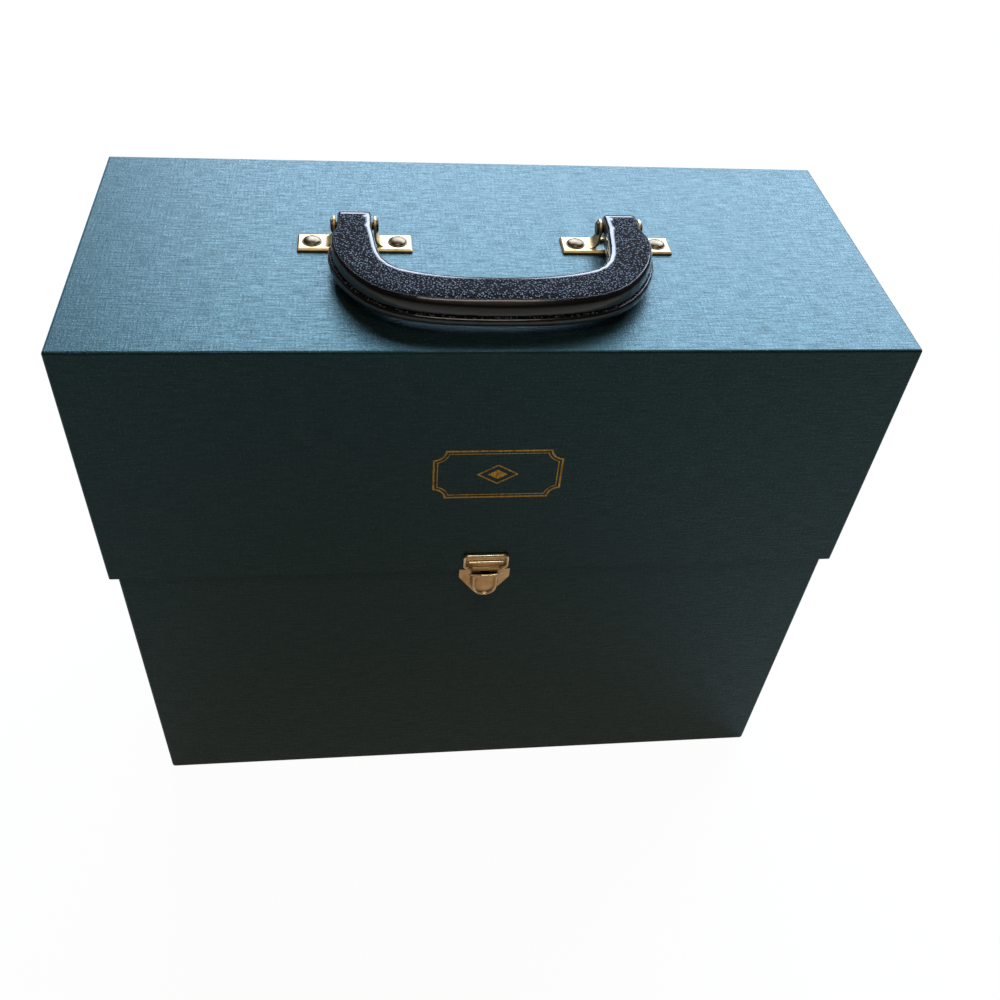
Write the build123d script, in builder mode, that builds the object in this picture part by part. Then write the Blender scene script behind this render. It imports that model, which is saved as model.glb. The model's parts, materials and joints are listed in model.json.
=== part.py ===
# Carrying case for papers: a tall board tray with a deep overlapping lid, covered in bookcloth.
# The lid turns on a cloth hinge along its top back edge. A moulded handle folds flat on the lid,
# and a small stamped brass latch with a thumb slide holds the lid's front skirt.
# Units are millimetres. The origin is the middle of the bottom face, X is to the right, Y is to
# the back and Z is up, so the front with the latch faces -Y.
from build123d import *
from math import asin, cos, pi, sin
import os

os.makedirs("parts", exist_ok=True)

# Case sizes
CASE_W = 330.0  # outside width of the lid
CASE_D = 146.0  # outside depth of the lid
CASE_H = 285.0  # height to the lid's top face
LID_SKIRT = 122.5  # depth of the lid's skirts

# Board, cloth and paper
BOARD_T = 2.0
CLOTH_T = 0.3
PAPER_T = 0.2
LID_EDGE_R = 1.2  # rounding of the lid's outer edges
BASE_EDGE_R = 1.5  # rounding of the base's upright edges
BASE_FOOT_R = 2.2  # rounding of the base's bottom edges
LID_PLAY = 0.3  # gap between the lid's inside and the base
LID_GAP = 0.4  # gap between the lid's top lining and the base's rim
TURN_IN = 15.0  # cloth folded in over an open edge
FOOT_TURN_IN = 12.0  # cloth folded under the bottom
SHEET_IN = 1.0  # bottom sheet's edge inside the rounded foot

# Drawing
PASS = 1.0  # how far a cut reaches past the material
RIVET_SIDES = 16  # rivet shanks, washers and their holes repeat, so they have few sides
HEAD_STEPS = 4  # rings in each rivet's domed head
CORNER_STEPS = 3  # flats in each rounded corner of the handle's slices
HANDLE_STEPS = 30  # slices along the handle, less one

# Cloth hinge
HINGE_LAP = 15.0  # lap of the outer hinge cloth on the back and on the lid's top
HINGE_MARGIN = 5.0  # distance of the hinge cloth's ends from the corners
STRIP_LAP = 18.0  # lap of the inner hinge strip

# Handle
HANDLE_W = 131.8  # overall width of the grip
HANDLE_REACH = 65.2  # from the pins' line to the grip's front edge
GRIP_DEPTH = 20.5  # front to back at the middle
HANDLE_SPAN = 110.0  # between the middles of the two ends
HANDLE_END_W = 13.7
HANDLE_END_H = 11.0
GRIP_TOP = 15.6  # height of the grip's crown above the lid
GRIP_CLEAR = 4.4  # gap between the folded grip and the lid
PIVOT_H = 9.0  # height of the pins above the lid
PARTING_H = 8.8  # height of the line between the handle's two shells
PARTING_GAP = 0.25
RIM_STEP = 1.5  # how far the lower shell stands out beyond the upper one
END_L = 9.0  # straight length of each end in front of its pin
END_EDGE_R = 1.2
GRIP_OUTER_R = 6.0  # rounding of the grip's crown at its outer edge
GRIP_INNER_R = 4.0
RIM_END_LOW = 3.6  # height of the lower shell's underside at its two ends
RIM_END_R = 1.5
RIM_TOP_R = 1.5
RIM_LOW_R = 2.4
RIM_INNER_R = 2.2

# Handle brackets
PLATE_W = 47.0
PLATE_D = 12.0
PLATE_T = 1.5
PLATE_BEVEL = 0.7
RIVET_SPAN = 35.0
EAR_T = 1.1
EAR_GAP = 15.4  # clear width between a bracket's two ears
EAR_TOP = 12.8  # height of the ears above the lid
EAR_BEND_R = 4.2
EAR_FOOT = 1.6  # length of the ear's foot that lies on the plate
EAR_TIP_FLAT = 0.05  # half the flat left at the top of each ear
PIN_R = 1.75
PIN_PLAY = 0.05
PIN_HEAD_R = 2.9
PIN_HEAD_T = 0.9
PIN_HEAD_BEVEL = 0.4
RIVET_HEAD_R = 4.1
RIVET_HEAD_H = 1.7
RIVET_SHANK_R = 1.6
WASHER_R = 5.0
WASHER_T = 0.8
RIVET_TAIL_R = 2.6
RIVET_TAIL_H = 1.0
RIVET_TAIL_TAPER = 35  # degrees

# Latch, lid side
FRAME_W = 20.6
FRAME_H = 9.6
FRAME_RISE = 1.1  # height of the frame's lower edge above the skirt's edge
FRAME_T = 1.5
FRAME_BEAD_W = 1.3
FRAME_BEAD_H = 0.55
FRAME_BEVEL = 0.4
FRAME_CORNER_R = 1.9
FRAME_SIDE_R = 1.2
FRAME_FOOT_R = 1.6
FRAME_FOOT_W = 12.8  # width of the frame's lower edge between its sloped corners
FRAME_SLOPE_H = 2.4
FRAME_FLOOR = 0.45  # depth of the field inside the bead
ROLL_R = 0.9  # rolled bar across the frame's field
ROLL_RISE = 4.7  # height of the rolled bar above the frame's lower edge
ROLL_W = 15.0
TONGUE_W = 12.0
TONGUE_T = 0.7
TONGUE_TOP = 1.2  # tongue's upper edge below the frame's
TONGUE_DROP = 2.15  # how far the tongue reaches below the skirt's edge
TONGUE_PLAY = 0.1
TONGUE_CORNER_R = 1.0
CATCH_SLOT_W = 4.4
CATCH_SLOT_H = 1.25
STUD_R = 0.9  # studs behind the frame that hold it and the tongue
STUD_SPAN = 7.6
STUD_DROP = 2.6  # studs below the frame's upper edge
STUD_HEAD_R = 1.5
BACKING_W = 14.0
BACKING_H = 5.0
BACKING_T = 0.5
BACKING_R = 1.0

# Latch, base side
SHIELD_W = 23.4
SHIELD_SIDE = 5.6  # straight part of the shield's sides
SHIELD_H = 16.2
SHIELD_FOOT_W = 8.6
SHIELD_SHOULDER_R = 2.5
SHIELD_FOOT_R = 1.5
SHIELD_PROUD = 2.8  # from the base's cloth to the shield's front
SHIELD_T = 0.6
SHIELD_EDGE_R = 0.5
SHIELD_GAP = 0.3  # between the skirt's edge and the shield's top
LATCH_PLATE_T = 0.6
LATCH_PLATE_PLAY = 0.05  # between the plate's edge and the shield's walls
PLATE_MOUTH_W = 9.2  # opening of the latch plate behind the slide
PLATE_RIVET_IN = 2.9  # rivets from the shield's sides
PLATE_RIVET_DROP = 5.0
PLATE_RIVET_R = 0.9
PLATE_RIVET_HEAD_R = 1.8
PLATE_RIVET_HEAD_T = 0.5
PLATE_RIVET_TAIL_R = 1.4
PLATE_RIVET_TAIL_T = 0.4
PLATE_WASHER_R = 2.8
PLATE_WASHER_T = 0.5
SLIDE_TRAVEL = 2.0
SLIDE_PLAY = 0.15
PAD_W = 11.8  # thumb pad
PAD_H = 14.2
PAD_PROUD = 3.5  # pad's front face in front of the lid's cloth
PAD_BACK = 0.3  # pad's back face in front of the lid's cloth
PAD_ROOT = 3.6  # pad's plain top below the lip's foot
PAD_DROP = 0.2  # pad's top below the skirt's edge
PAD_BEVEL = 0.5
PAD_BEAD_W = 1.5
PAD_HOLLOW = 0.8
HOLLOW_DROP = 0.9  # top of the pad's hollow below the lip
LIP_W = 15.4
LIP_T = 0.75
LIP_RISE = 1.7  # height of the lip's ends above the skirt's edge
LIP_REACH = 4.2  # lip's inner edge in front of the lid's cloth
LIP_MOUTH = 1.0  # narrow end of the mouth that the tongue drops into
LIP_SAG = 0.8  # drop of the lip's middle below its ends
LIP_TIP = 0.4  # height of the lip's sloped front edge
LIP_FOOT = 0.3  # how far the pad's face stops short of its top
LIP_MOUTH_DROP = 0.1  # mouth's floor below the tongue
LIP_SLICES = 7
LIP_CORNER_Z = -0.1  # underside of the lip beside the pad, from the skirt's edge
LIP_CORNER_R = 0.6
LIP_END_Z = 0.5  # underside of the lip at its ends, from the skirt's edge
NECK_W = 4.4
NECK_H = 4.0
NECK_DROP = 3.2  # neck below the shield's top
CARRIAGE_W = 9.6
CARRIAGE_T = 0.55
CARRIAGE_LAP = 0.4
SPRING_FOOT_W = 3.0
SPRING_FOOT_H = 0.8
SPRING_R = 0.75  # coil radius to the wire's middle
SPRING_WIRE = 0.28
SPRING_TURNS = 5
SPRING_SIDES = 4
SPRING_PLAY = 0.05
SPRING_L = 6.0
LEAF_T = 0.25
LEAF_W = 1.7
LEAF_GAP = 0.5  # between the shield's inside and the leaf
LEAF_ROOT_IN = 1.4  # leaf's fixed end from the shield's side
LEAF_REACH = 0.9  # leaf's free end past the nose
LEAF_BEND_IN = 3.0  # from the plate's mouth to the foot of the leaf's step
LEAF_BEND_OUT = 1.5
LEAF_BEND_SHIFT = 0.2  # the step's front corners stand this much to the left
NOSE_W = 3.2
NOSE_H = 0.5
NOSE_REACH = 0.5  # how far the nose stands into the tongue's slot
NOSE_PLAY = 0.05
TOE_W = 1.7
TOE_H = 0.4
RAMP_T = 1.0  # how far the slide's ramp pushes the leaf back
RAMP_PLAY = 0.1
RAMP_DROP = 0.2  # ramp's top below the shield's
TOE_PLAY = 0.2

# Places worked out from the sizes above
WALL_T = BOARD_T + 2 * CLOTH_T
INSET = WALL_T + LID_PLAY
LID_X = CASE_W / 2
LID_Y = CASE_D / 2
LID_LOW = CASE_H - LID_SKIRT
BASE_X = LID_X - INSET
BASE_FRONT = -LID_Y + INSET
BASE_BACK = LID_Y
BASE_TOP = CASE_H - CLOTH_T - BOARD_T - PAPER_T - LID_GAP
PIVOT_Z = CASE_H + PIVOT_H

# Board envelope of the base: the outer faces of its boards
ENV_X = BASE_X - CLOTH_T
ENV_FRONT = BASE_FRONT + CLOTH_T
ENV_BACK = BASE_BACK - CLOTH_T
ENV_LOW = 2 * CLOTH_T
ENV_TOP = BASE_TOP - CLOTH_T

# Board envelope of the lid
LENV_X = LID_X - CLOTH_T
LENV_Y = LID_Y - CLOTH_T
LENV_LOW = LID_LOW + CLOTH_T
LENV_TOP = CASE_H - CLOTH_T
LID_UNDER = LENV_TOP - BOARD_T

# Levels of the latch
FRAME_LOW = LID_LOW + FRAME_RISE
FRAME_TOP = FRAME_LOW + FRAME_H
STUD_Z = FRAME_TOP - STUD_DROP
SHIELD_TOP = LID_LOW - SHIELD_GAP
PLATE_RIVET_X = SHIELD_W / 2 - PLATE_RIVET_IN
PLATE_RIVET_Z = SHIELD_TOP - PLATE_RIVET_DROP


def span(low, high):
    """Length and middle of an interval, for a box given by its two ends."""
    return high - low, (low + high) / 2


def block(x, y, z, mode=Mode.ADD):
    """A box between two corners inside the current part."""
    x_len, x_mid = span(*x)
    y_len, y_mid = span(*y)
    z_len, z_mid = span(*z)
    with Locations((x_mid, y_mid, z_mid)):
        Box(x_len, y_len, z_len, mode=mode)


def top_holes(places, radius, mode=Mode.SUBTRACT):
    """Rivet holes along Z through the lid's top at X, Y places."""
    with BuildSketch(Plane.XY.offset(LID_UNDER - PAPER_T)) as rounds:
        with Locations(*places):
            RegularPolygon(radius, RIVET_SIDES)
    extrude(rounds.sketch, amount=CASE_H - LID_UNDER + PAPER_T, mode=mode)


def finish(part, label):
    part.part.label = label
    export_step(part.part, "parts/" + label + ".step")


bracket_x = (-HANDLE_SPAN / 2, HANDLE_SPAN / 2)
handle_rivet_places = [(x + s * RIVET_SPAN / 2, 0) for x in bracket_x for s in (-1, 1)]
stud_places = [(s * STUD_SPAN / 2, STUD_Z) for s in (-1, 1)]
plate_rivet_places = [(s * PLATE_RIVET_X, PLATE_RIVET_Z) for s in (-1, 1)]


def front_holes(places, radius, y_low, y_high, mode=Mode.SUBTRACT):
    """Rivet holes or bars along Y through the current part at X, Z places."""
    with BuildSketch(Plane.XZ.offset(-y_high)) as rounds:
        with Locations(*places):
            RegularPolygon(radius, RIVET_SIDES)
    extrude(rounds.sketch, amount=y_high - y_low, mode=mode)


# Space that the base's boards fill, which its cloth is wrapped round
with BuildPart() as base_envelope:
    block((-ENV_X, ENV_X), (ENV_FRONT, ENV_BACK), (ENV_LOW, ENV_TOP))
    fillet(base_envelope.edges().filter_by(Axis.Z), BASE_EDGE_R - CLOTH_T)
    fillet(base_envelope.edges().group_by(Axis.Z)[0], BASE_FOOT_R - CLOTH_T)

# Base boards: the front and back walls run the full width, the rest fits between them
in_base_x = ENV_X - BOARD_T
in_base_front = ENV_FRONT + BOARD_T
in_base_back = ENV_BACK - BOARD_T
base_floor = ENV_LOW + BOARD_T
base_boards = {
    "base_bottom_board": ((-in_base_x, in_base_x), (in_base_front, in_base_back), (ENV_LOW, base_floor)),
    "base_front_board": ((-ENV_X, ENV_X), (ENV_FRONT, in_base_front), (ENV_LOW, ENV_TOP)),
    "base_back_board": ((-ENV_X, ENV_X), (in_base_back, ENV_BACK), (ENV_LOW, ENV_TOP)),
    "base_left_board": ((-ENV_X, -in_base_x), (in_base_front, in_base_back), (ENV_LOW, ENV_TOP)),
    "base_right_board": ((in_base_x, ENV_X), (in_base_front, in_base_back), (ENV_LOW, ENV_TOP)),
}
for name, (x, y, z) in base_boards.items():
    with BuildPart() as base_board:
        block(x, y, z)
        add(base_envelope.part, mode=Mode.INTERSECT)
        if name == "base_front_board":
            front_holes(plate_rivet_places, PLATE_RIVET_R, ENV_FRONT - PASS, in_base_front + PASS)
    finish(base_board, name)

hinge_x = BASE_X - HINGE_MARGIN

# Base cover: one cloth skin round the four walls, turned in over the rim and under the bottom
with BuildPart() as base_cover:
    block((-BASE_X, BASE_X), (BASE_FRONT, BASE_BACK), (CLOTH_T, BASE_TOP))
    fillet(base_cover.edges().filter_by(Axis.Z), BASE_EDGE_R)
    fillet(base_cover.edges().group_by(Axis.Z)[0], BASE_FOOT_R)
    add(base_envelope.part, mode=Mode.SUBTRACT)
    block((-in_base_x, in_base_x), (in_base_front, in_base_back), (BASE_TOP - TURN_IN, BASE_TOP))
    block(
        (-in_base_x + CLOTH_T, in_base_x - CLOTH_T),
        (in_base_front + CLOTH_T, in_base_back - CLOTH_T),
        (BASE_TOP - TURN_IN - PASS, BASE_TOP + PASS),
        Mode.SUBTRACT,
    )
    block(
        (-BASE_X + FOOT_TURN_IN, BASE_X - FOOT_TURN_IN),
        (BASE_FRONT + FOOT_TURN_IN, BASE_BACK - FOOT_TURN_IN),
        (0, ENV_LOW),
        Mode.SUBTRACT,
    )
    block(
        (-hinge_x, hinge_x),
        (ENV_BACK, BASE_BACK + PASS),
        (CASE_H - HINGE_LAP, BASE_TOP + PASS),
        Mode.SUBTRACT,
    )
    front_holes(plate_rivet_places, PLATE_RIVET_R, BASE_FRONT - PASS, ENV_FRONT + PASS)
finish(base_cover, "base_cover")

with BuildPart() as base_bottom_sheet:
    block(
        (-BASE_X + BASE_FOOT_R + SHEET_IN, BASE_X - BASE_FOOT_R - SHEET_IN),
        (BASE_FRONT + BASE_FOOT_R + SHEET_IN, BASE_BACK - BASE_FOOT_R - SHEET_IN),
        (0, CLOTH_T),
    )
finish(base_bottom_sheet, "base_bottom_sheet")

with BuildPart() as base_wall_lining:
    block((-in_base_x, in_base_x), (in_base_front, in_base_back), (base_floor, BASE_TOP - TURN_IN))
    block(
        (-in_base_x + PAPER_T, in_base_x - PAPER_T),
        (in_base_front + PAPER_T, in_base_back - PAPER_T),
        (ENV_LOW, BASE_TOP),
        Mode.SUBTRACT,
    )
    front_holes(plate_rivet_places, PLATE_RIVET_R, in_base_front - PASS, in_base_front + PASS)
finish(base_wall_lining, "base_wall_lining")

with BuildPart() as base_floor_lining:
    block(
        (-in_base_x + PAPER_T, in_base_x - PAPER_T),
        (in_base_front + PAPER_T, in_base_back - PAPER_T),
        (base_floor, base_floor + PAPER_T),
    )
finish(base_floor_lining, "base_floor_lining")

# Space that the lid's boards fill, which its cloth is wrapped round
with BuildPart() as lid_envelope:
    block((-LENV_X, LENV_X), (-LENV_Y, LENV_Y), (LENV_LOW, LENV_TOP))
    fillet(lid_envelope.edges().filter_by(Axis.Z).group_by(Axis.Y)[0], LID_EDGE_R - CLOTH_T)
    fillet(lid_envelope.faces().sort_by(Axis.Z)[-1].edges(), LID_EDGE_R - CLOTH_T)

# Lid boards: the top board lies over the front and side skirts, and the back stays open
in_x = LENV_X - BOARD_T
in_y = -LENV_Y + BOARD_T
lid_boards = {
    "lid_top_board": ((-LENV_X, LENV_X), (-LENV_Y, LENV_Y), (LID_UNDER, LENV_TOP)),
    "lid_front_board": ((-LENV_X, LENV_X), (-LENV_Y, in_y), (LENV_LOW, LID_UNDER)),
    "lid_left_board": ((-LENV_X, -in_x), (in_y, LENV_Y), (LENV_LOW, LID_UNDER)),
    "lid_right_board": ((in_x, LENV_X), (in_y, LENV_Y), (LENV_LOW, LID_UNDER)),
}
for name, (x, y, z) in lid_boards.items():
    with BuildPart() as lid_board:
        block(x, y, z)
        add(lid_envelope.part, mode=Mode.INTERSECT)
        if name == "lid_top_board":
            top_holes(handle_rivet_places, RIVET_SHANK_R)
        if name == "lid_front_board":
            front_holes(stud_places, STUD_R, -LENV_Y - PASS, in_y + PASS)
            block(
                (-BACKING_W / 2, BACKING_W / 2),
                (in_y - BACKING_T, in_y),
                (STUD_Z - BACKING_H / 2, STUD_Z + BACKING_H / 2),
                Mode.SUBTRACT,
            )
    finish(lid_board, name)

# Outer hinge cloth: folded over the top back corner, level with the covers beside it
with BuildPart() as hinge_cloth:
    with BuildSketch(Plane.YZ.offset(-hinge_x)):
        with BuildLine():
            FilletPolyline(
                (LID_Y - HINGE_LAP, CASE_H),
                (LID_Y, CASE_H),
                (LID_Y, CASE_H - HINGE_LAP),
                (ENV_BACK, CASE_H - HINGE_LAP),
                (ENV_BACK, LENV_TOP),
                (LID_Y - HINGE_LAP, LENV_TOP),
                radius=[0, LID_EDGE_R, 0, 0, LID_EDGE_R - CLOTH_T, 0],
                close=True,
            )
        make_face()
    extrude(amount=2 * hinge_x)
finish(hinge_cloth, "hinge_cloth")

# Lid cover: top, front and side skins in one, turned in round the skirts' free edges
with BuildPart() as lid_cover:
    block((-LID_X, LID_X), (-LID_Y, LID_Y), (LID_LOW, CASE_H))
    upright = lid_cover.edges().filter_by(Axis.Z).group_by(Axis.Y)[0]
    fillet(upright, LID_EDGE_R)
    fillet(lid_cover.faces().sort_by(Axis.Z)[-1].edges(), LID_EDGE_R)
    add(lid_envelope.part, mode=Mode.SUBTRACT)
    block((-in_x, in_x), (in_y, LID_Y), (LID_LOW, LID_LOW + TURN_IN))
    block((-in_x, in_x), (LID_Y - TURN_IN, LID_Y), (LID_LOW, LID_UNDER))
    block(
        (-in_x + CLOTH_T, in_x - CLOTH_T),
        (in_y + CLOTH_T, LID_Y + PASS),
        (LID_LOW - PASS, LID_UNDER),
        Mode.SUBTRACT,
    )
    add(hinge_cloth.part, mode=Mode.SUBTRACT)
    top_holes(handle_rivet_places, RIVET_SHANK_R)
    front_holes(stud_places, STUD_R, -LID_Y - PASS, -LENV_Y + PASS)
    front_holes(stud_places, STUD_HEAD_R, in_y - PASS, in_y + PASS)
finish(lid_cover, "lid_cover")

with BuildPart() as lid_wall_lining:
    block((-in_x, in_x), (in_y, LID_Y - TURN_IN), (LID_LOW + TURN_IN, LID_UNDER - PAPER_T))
    block(
        (-in_x + PAPER_T, in_x - PAPER_T),
        (in_y + PAPER_T, LID_Y),
        (LID_LOW, LID_UNDER),
        Mode.SUBTRACT,
    )
finish(lid_wall_lining, "lid_wall_lining")

with BuildPart() as lid_top_lining:
    block((-in_x + CLOTH_T, in_x - CLOTH_T), (in_y, LENV_Y), (LID_UNDER - PAPER_T, LID_UNDER))
    top_holes(handle_rivet_places, RIVET_SHANK_R)
finish(lid_top_lining, "lid_top_lining")

# Inner hinge strip: pasted under the lid's top and down the inside of the back wall
with BuildPart() as hinge_strip:
    strip_back = in_base_back - CLOTH_T
    strip_top = LID_UNDER - PAPER_T
    with BuildSketch(Plane.YZ.offset(-hinge_x)):
        with BuildLine():
            Polyline(
                (strip_back - STRIP_LAP, strip_top),
                (strip_back, strip_top),
                (strip_back, strip_top - STRIP_LAP),
                (strip_back - PAPER_T, strip_top - STRIP_LAP),
                (strip_back - PAPER_T, strip_top - PAPER_T),
                (strip_back - STRIP_LAP, strip_top - PAPER_T),
                close=True,
            )
        make_face()
    extrude(amount=2 * hinge_x)
finish(hinge_strip, "hinge_strip")


def dome_ring(x, y, share):
    """Level ring of a rivet's domed head, from its rim at share 1 to its crown at share 0."""
    sphere = (RIVET_HEAD_R**2 + RIVET_HEAD_H**2) / (2 * RIVET_HEAD_H)
    angle = share * asin(RIVET_HEAD_R / sphere)
    level = PLATE_TOP + RIVET_HEAD_H - sphere * (1 - cos(angle))
    with BuildSketch(Plane.XY.offset(level)) as ring:
        with Locations((x, y)):
            RegularPolygon(sphere * sin(angle), RIVET_SIDES)
    return ring.sketch


# Handle brackets: a bevelled plate whose two ears are cut from its middle and bent up
EAR_R = EAR_TOP - PIVOT_H
EAR_IN = EAR_GAP / 2
EAR_BEND_X = EAR_IN + EAR_T + EAR_BEND_R
PLATE_TOP = CASE_H + PLATE_T
EAR_LOW = PLATE_TOP - EAR_T
bracket_names = ("left_handle_bracket", "right_handle_bracket")
pin_names = ("left_handle_pin", "right_handle_pin")
for x_mid, name in zip(bracket_x, bracket_names):
    with BuildPart() as bracket:
        block(
            (x_mid - PLATE_W / 2, x_mid + PLATE_W / 2),
            (-PLATE_D / 2, PLATE_D / 2),
            (CASE_H, PLATE_TOP),
        )
        chamfer(bracket.faces().sort_by(Axis.Z)[-1].edges(), PLATE_BEVEL)
        block(
            (x_mid - EAR_BEND_X, x_mid + EAR_BEND_X),
            (-EAR_R, EAR_R),
            (CASE_H, PLATE_TOP),
            Mode.SUBTRACT,
        )
        for s in (-1, 1):
            x_in = x_mid + s * EAR_IN
            x_out = x_in + s * EAR_T
            x_foot = x_mid + s * (EAR_BEND_X + EAR_FOOT)
            with BuildSketch(Plane.XZ.offset(-EAR_R)):
                with BuildLine():
                    FilletPolyline(
                        (x_in, CASE_H + EAR_TOP),
                        (x_in, EAR_LOW),
                        (x_foot, EAR_LOW),
                        (x_foot, PLATE_TOP),
                        (x_out, PLATE_TOP),
                        (x_out, CASE_H + EAR_TOP),
                        radius=[0, EAR_BEND_R + EAR_T, 0, 0, EAR_BEND_R, 0],
                        close=True,
                    )
                make_face()
            extrude(amount=2 * EAR_R)
        ear_tips = bracket.edges().filter_by(Axis.X).group_by(Axis.Z)[-1]
        fillet(ear_tips, EAR_R - EAR_TIP_FLAT)
        with BuildSketch(Plane.YZ.offset(x_mid - EAR_IN - EAR_T)):
            with Locations((0, PIVOT_Z)):
                Circle(PIN_R)
        extrude(amount=2 * (EAR_IN + EAR_T), mode=Mode.SUBTRACT)
        with BuildSketch(Plane.XY.offset(CASE_H)):
            with Locations((x_mid - RIVET_SPAN / 2, 0), (x_mid + RIVET_SPAN / 2, 0)):
                RegularPolygon(RIVET_SHANK_R, RIVET_SIDES)
        extrude(amount=PLATE_T, mode=Mode.SUBTRACT)
    finish(bracket, name)

for x_mid, name in zip(bracket_x, pin_names):
    with BuildPart() as pin:
        with BuildSketch(Plane.YZ.offset(x_mid - EAR_IN - EAR_T)):
            with Locations((0, PIVOT_Z)):
                Circle(PIN_R)
        extrude(amount=2 * (EAR_IN + EAR_T))
        for s in (-1, 1):
            head_x = x_mid + s * (EAR_IN + EAR_T)
            with BuildSketch(Plane.YZ.offset(head_x)):
                with Locations((0, PIVOT_Z)):
                    Circle(PIN_HEAD_R)
            extrude(amount=s * PIN_HEAD_T)
        ends = pin.faces().sort_by(Axis.X)
        chamfer(ends[0].edges() + ends[-1].edges(), PIN_HEAD_BEVEL)
    finish(pin, name)

# Domed rivets through the brackets, the cloth, the top board and its lining
rivet_low = LID_UNDER - PAPER_T - WASHER_T
with BuildPart() as handle_rivets:
    for x, y in handle_rivet_places:
        loft([dome_ring(x, y, 1 - i / HEAD_STEPS) for i in range(HEAD_STEPS)], ruled=True)
    with BuildSketch(Plane.XY.offset(rivet_low)):
        with Locations(*handle_rivet_places):
            RegularPolygon(RIVET_SHANK_R, RIVET_SIDES)
    extrude(amount=PLATE_TOP - rivet_low)
    with BuildSketch(Plane.XY.offset(rivet_low)):
        with Locations(*handle_rivet_places):
            RegularPolygon(RIVET_TAIL_R, RIVET_SIDES)
    extrude(amount=-RIVET_TAIL_H, taper=RIVET_TAIL_TAPER)
finish(handle_rivets, "handle_rivets")

with BuildPart() as handle_rivet_washers:
    with BuildSketch(Plane.XY.offset(rivet_low)):
        with Locations(*handle_rivet_places):
            RegularPolygon(WASHER_R, RIVET_SIDES)
            RegularPolygon(RIVET_SHANK_R, RIVET_SIDES, mode=Mode.SUBTRACT)
    extrude(amount=WASHER_T)
finish(handle_rivet_washers, "handle_rivet_washers")

# Handle: ruled slices across the grip. Its plan runs from an end to the middle through pairs of
# inner and outer points, given as shares of the handle's sizes, and is mirrored to the right.
END_IN = (HANDLE_SPAN - HANDLE_END_W) / 2
END_OUT = (HANDLE_SPAN + HANDLE_END_W) / 2
END_TOP = PIVOT_H + HANDLE_END_H / 2
END_LOW = PIVOT_H - HANDLE_END_H / 2
IN_REACH = HANDLE_REACH - GRIP_DEPTH
OUT_X = HANDLE_W / 2
plan = [
    ((END_IN, END_L), (END_OUT + RIM_STEP, END_L)),
    ((END_IN * 0.975, IN_REACH * 0.40), (OUT_X * 0.997, HANDLE_REACH * 0.27)),
    ((END_IN * 0.935, IN_REACH * 0.65), (OUT_X * 0.972, HANDLE_REACH * 0.47)),
    ((END_IN * 0.840, IN_REACH * 0.82), (OUT_X * 0.865, HANDLE_REACH * 0.70)),
    ((END_IN * 0.680, IN_REACH * 0.91), (OUT_X * 0.668, HANDLE_REACH * 0.89)),
    ((END_IN * 0.370, IN_REACH * 0.98), (OUT_X * 0.364, HANDLE_REACH * 0.98)),
    ((0, IN_REACH), (0, HANDLE_REACH)),
]


def plan_curve(side_points):
    """Smooth curve through one side of the plan, left end to right end."""
    left = [(-x, -y) for x, y in side_points]
    right = [(x, -y) for x, y in reversed(side_points[:-1])]
    count = len(left) + len(right)
    return Edge.make_spline(left + right, parameters=[i / (count - 1) for i in range(count)])


inner_curve = plan_curve([inner for inner, outer in plan])
outer_curve = plan_curve([outer for inner, outer in plan])


def corner_points(x, z, radius, turn):
    """Points of one rounded corner of a slice, which starts at an angle and turns 90 degrees."""
    if radius == 0:
        return [(x, z)]
    middle_x = x - radius * (cos(turn) + cos(turn + pi / 2))
    middle_z = z - radius * (sin(turn) + sin(turn + pi / 2))
    angles = [turn + i / CORNER_STEPS * pi / 2 for i in range(CORNER_STEPS + 1)]
    return [(middle_x + radius * cos(a), middle_z + radius * sin(a)) for a in angles]


def slice_across(inner, outer, low, top, radii):
    """One slice of the handle, standing on the line from inner to outer.

    The radii are those of the low inner, low outer, top outer and top inner corner.
    """
    across = Vector(outer.X - inner.X, outer.Y - inner.Y, 0)
    middle = ((inner.X + outer.X) / 2, (inner.Y + outer.Y) / 2, CASE_H)
    half = across.length / 2
    corners = [(-half, low, pi), (half, low, pi * 3 / 2), (half, top, 0), (-half, top, pi / 2)]
    points = []
    for (x, z, turn), radius in zip(corners, radii):
        points += corner_points(x, z, radius, turn)
    with BuildSketch(Plane(middle, across, across.cross(Vector(0, 0, 1)))) as profile:
        with BuildLine():
            Polyline(*points, close=True)
        make_face()
    return profile.sketch


def blend(start, end, share):
    return start + (end - start) * share


upper_slices = []
lower_slices = []
for i in range(HANDLE_STEPS + 1):
    place = i / HANDLE_STEPS
    share = 1 - abs(2 * place - 1)  # 0 at the handle's ends, 1 at its middle
    inner = inner_curve.position_at(place, position_mode=PositionMode.PARAMETER)
    outer = outer_curve.position_at(place, position_mode=PositionMode.PARAMETER)
    upper_outer = outer - (outer - inner).normalized() * RIM_STEP
    grip_radii = [0, 0, blend(END_EDGE_R, GRIP_OUTER_R, share), blend(END_EDGE_R, GRIP_INNER_R, share)]
    rim_radii = [blend(RIM_END_R, RIM_INNER_R, share), blend(RIM_END_R, RIM_LOW_R, share), RIM_TOP_R, 0]
    grip_top = blend(END_TOP, GRIP_TOP, share)
    rim_low = blend(RIM_END_LOW, GRIP_CLEAR, min(1, 2 * share))
    rim_top = PARTING_H - PARTING_GAP
    upper_slices.append(slice_across(inner, upper_outer, PARTING_H, grip_top, grip_radii))
    lower_slices.append(slice_across(inner, outer, rim_low, rim_top, rim_radii))

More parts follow.
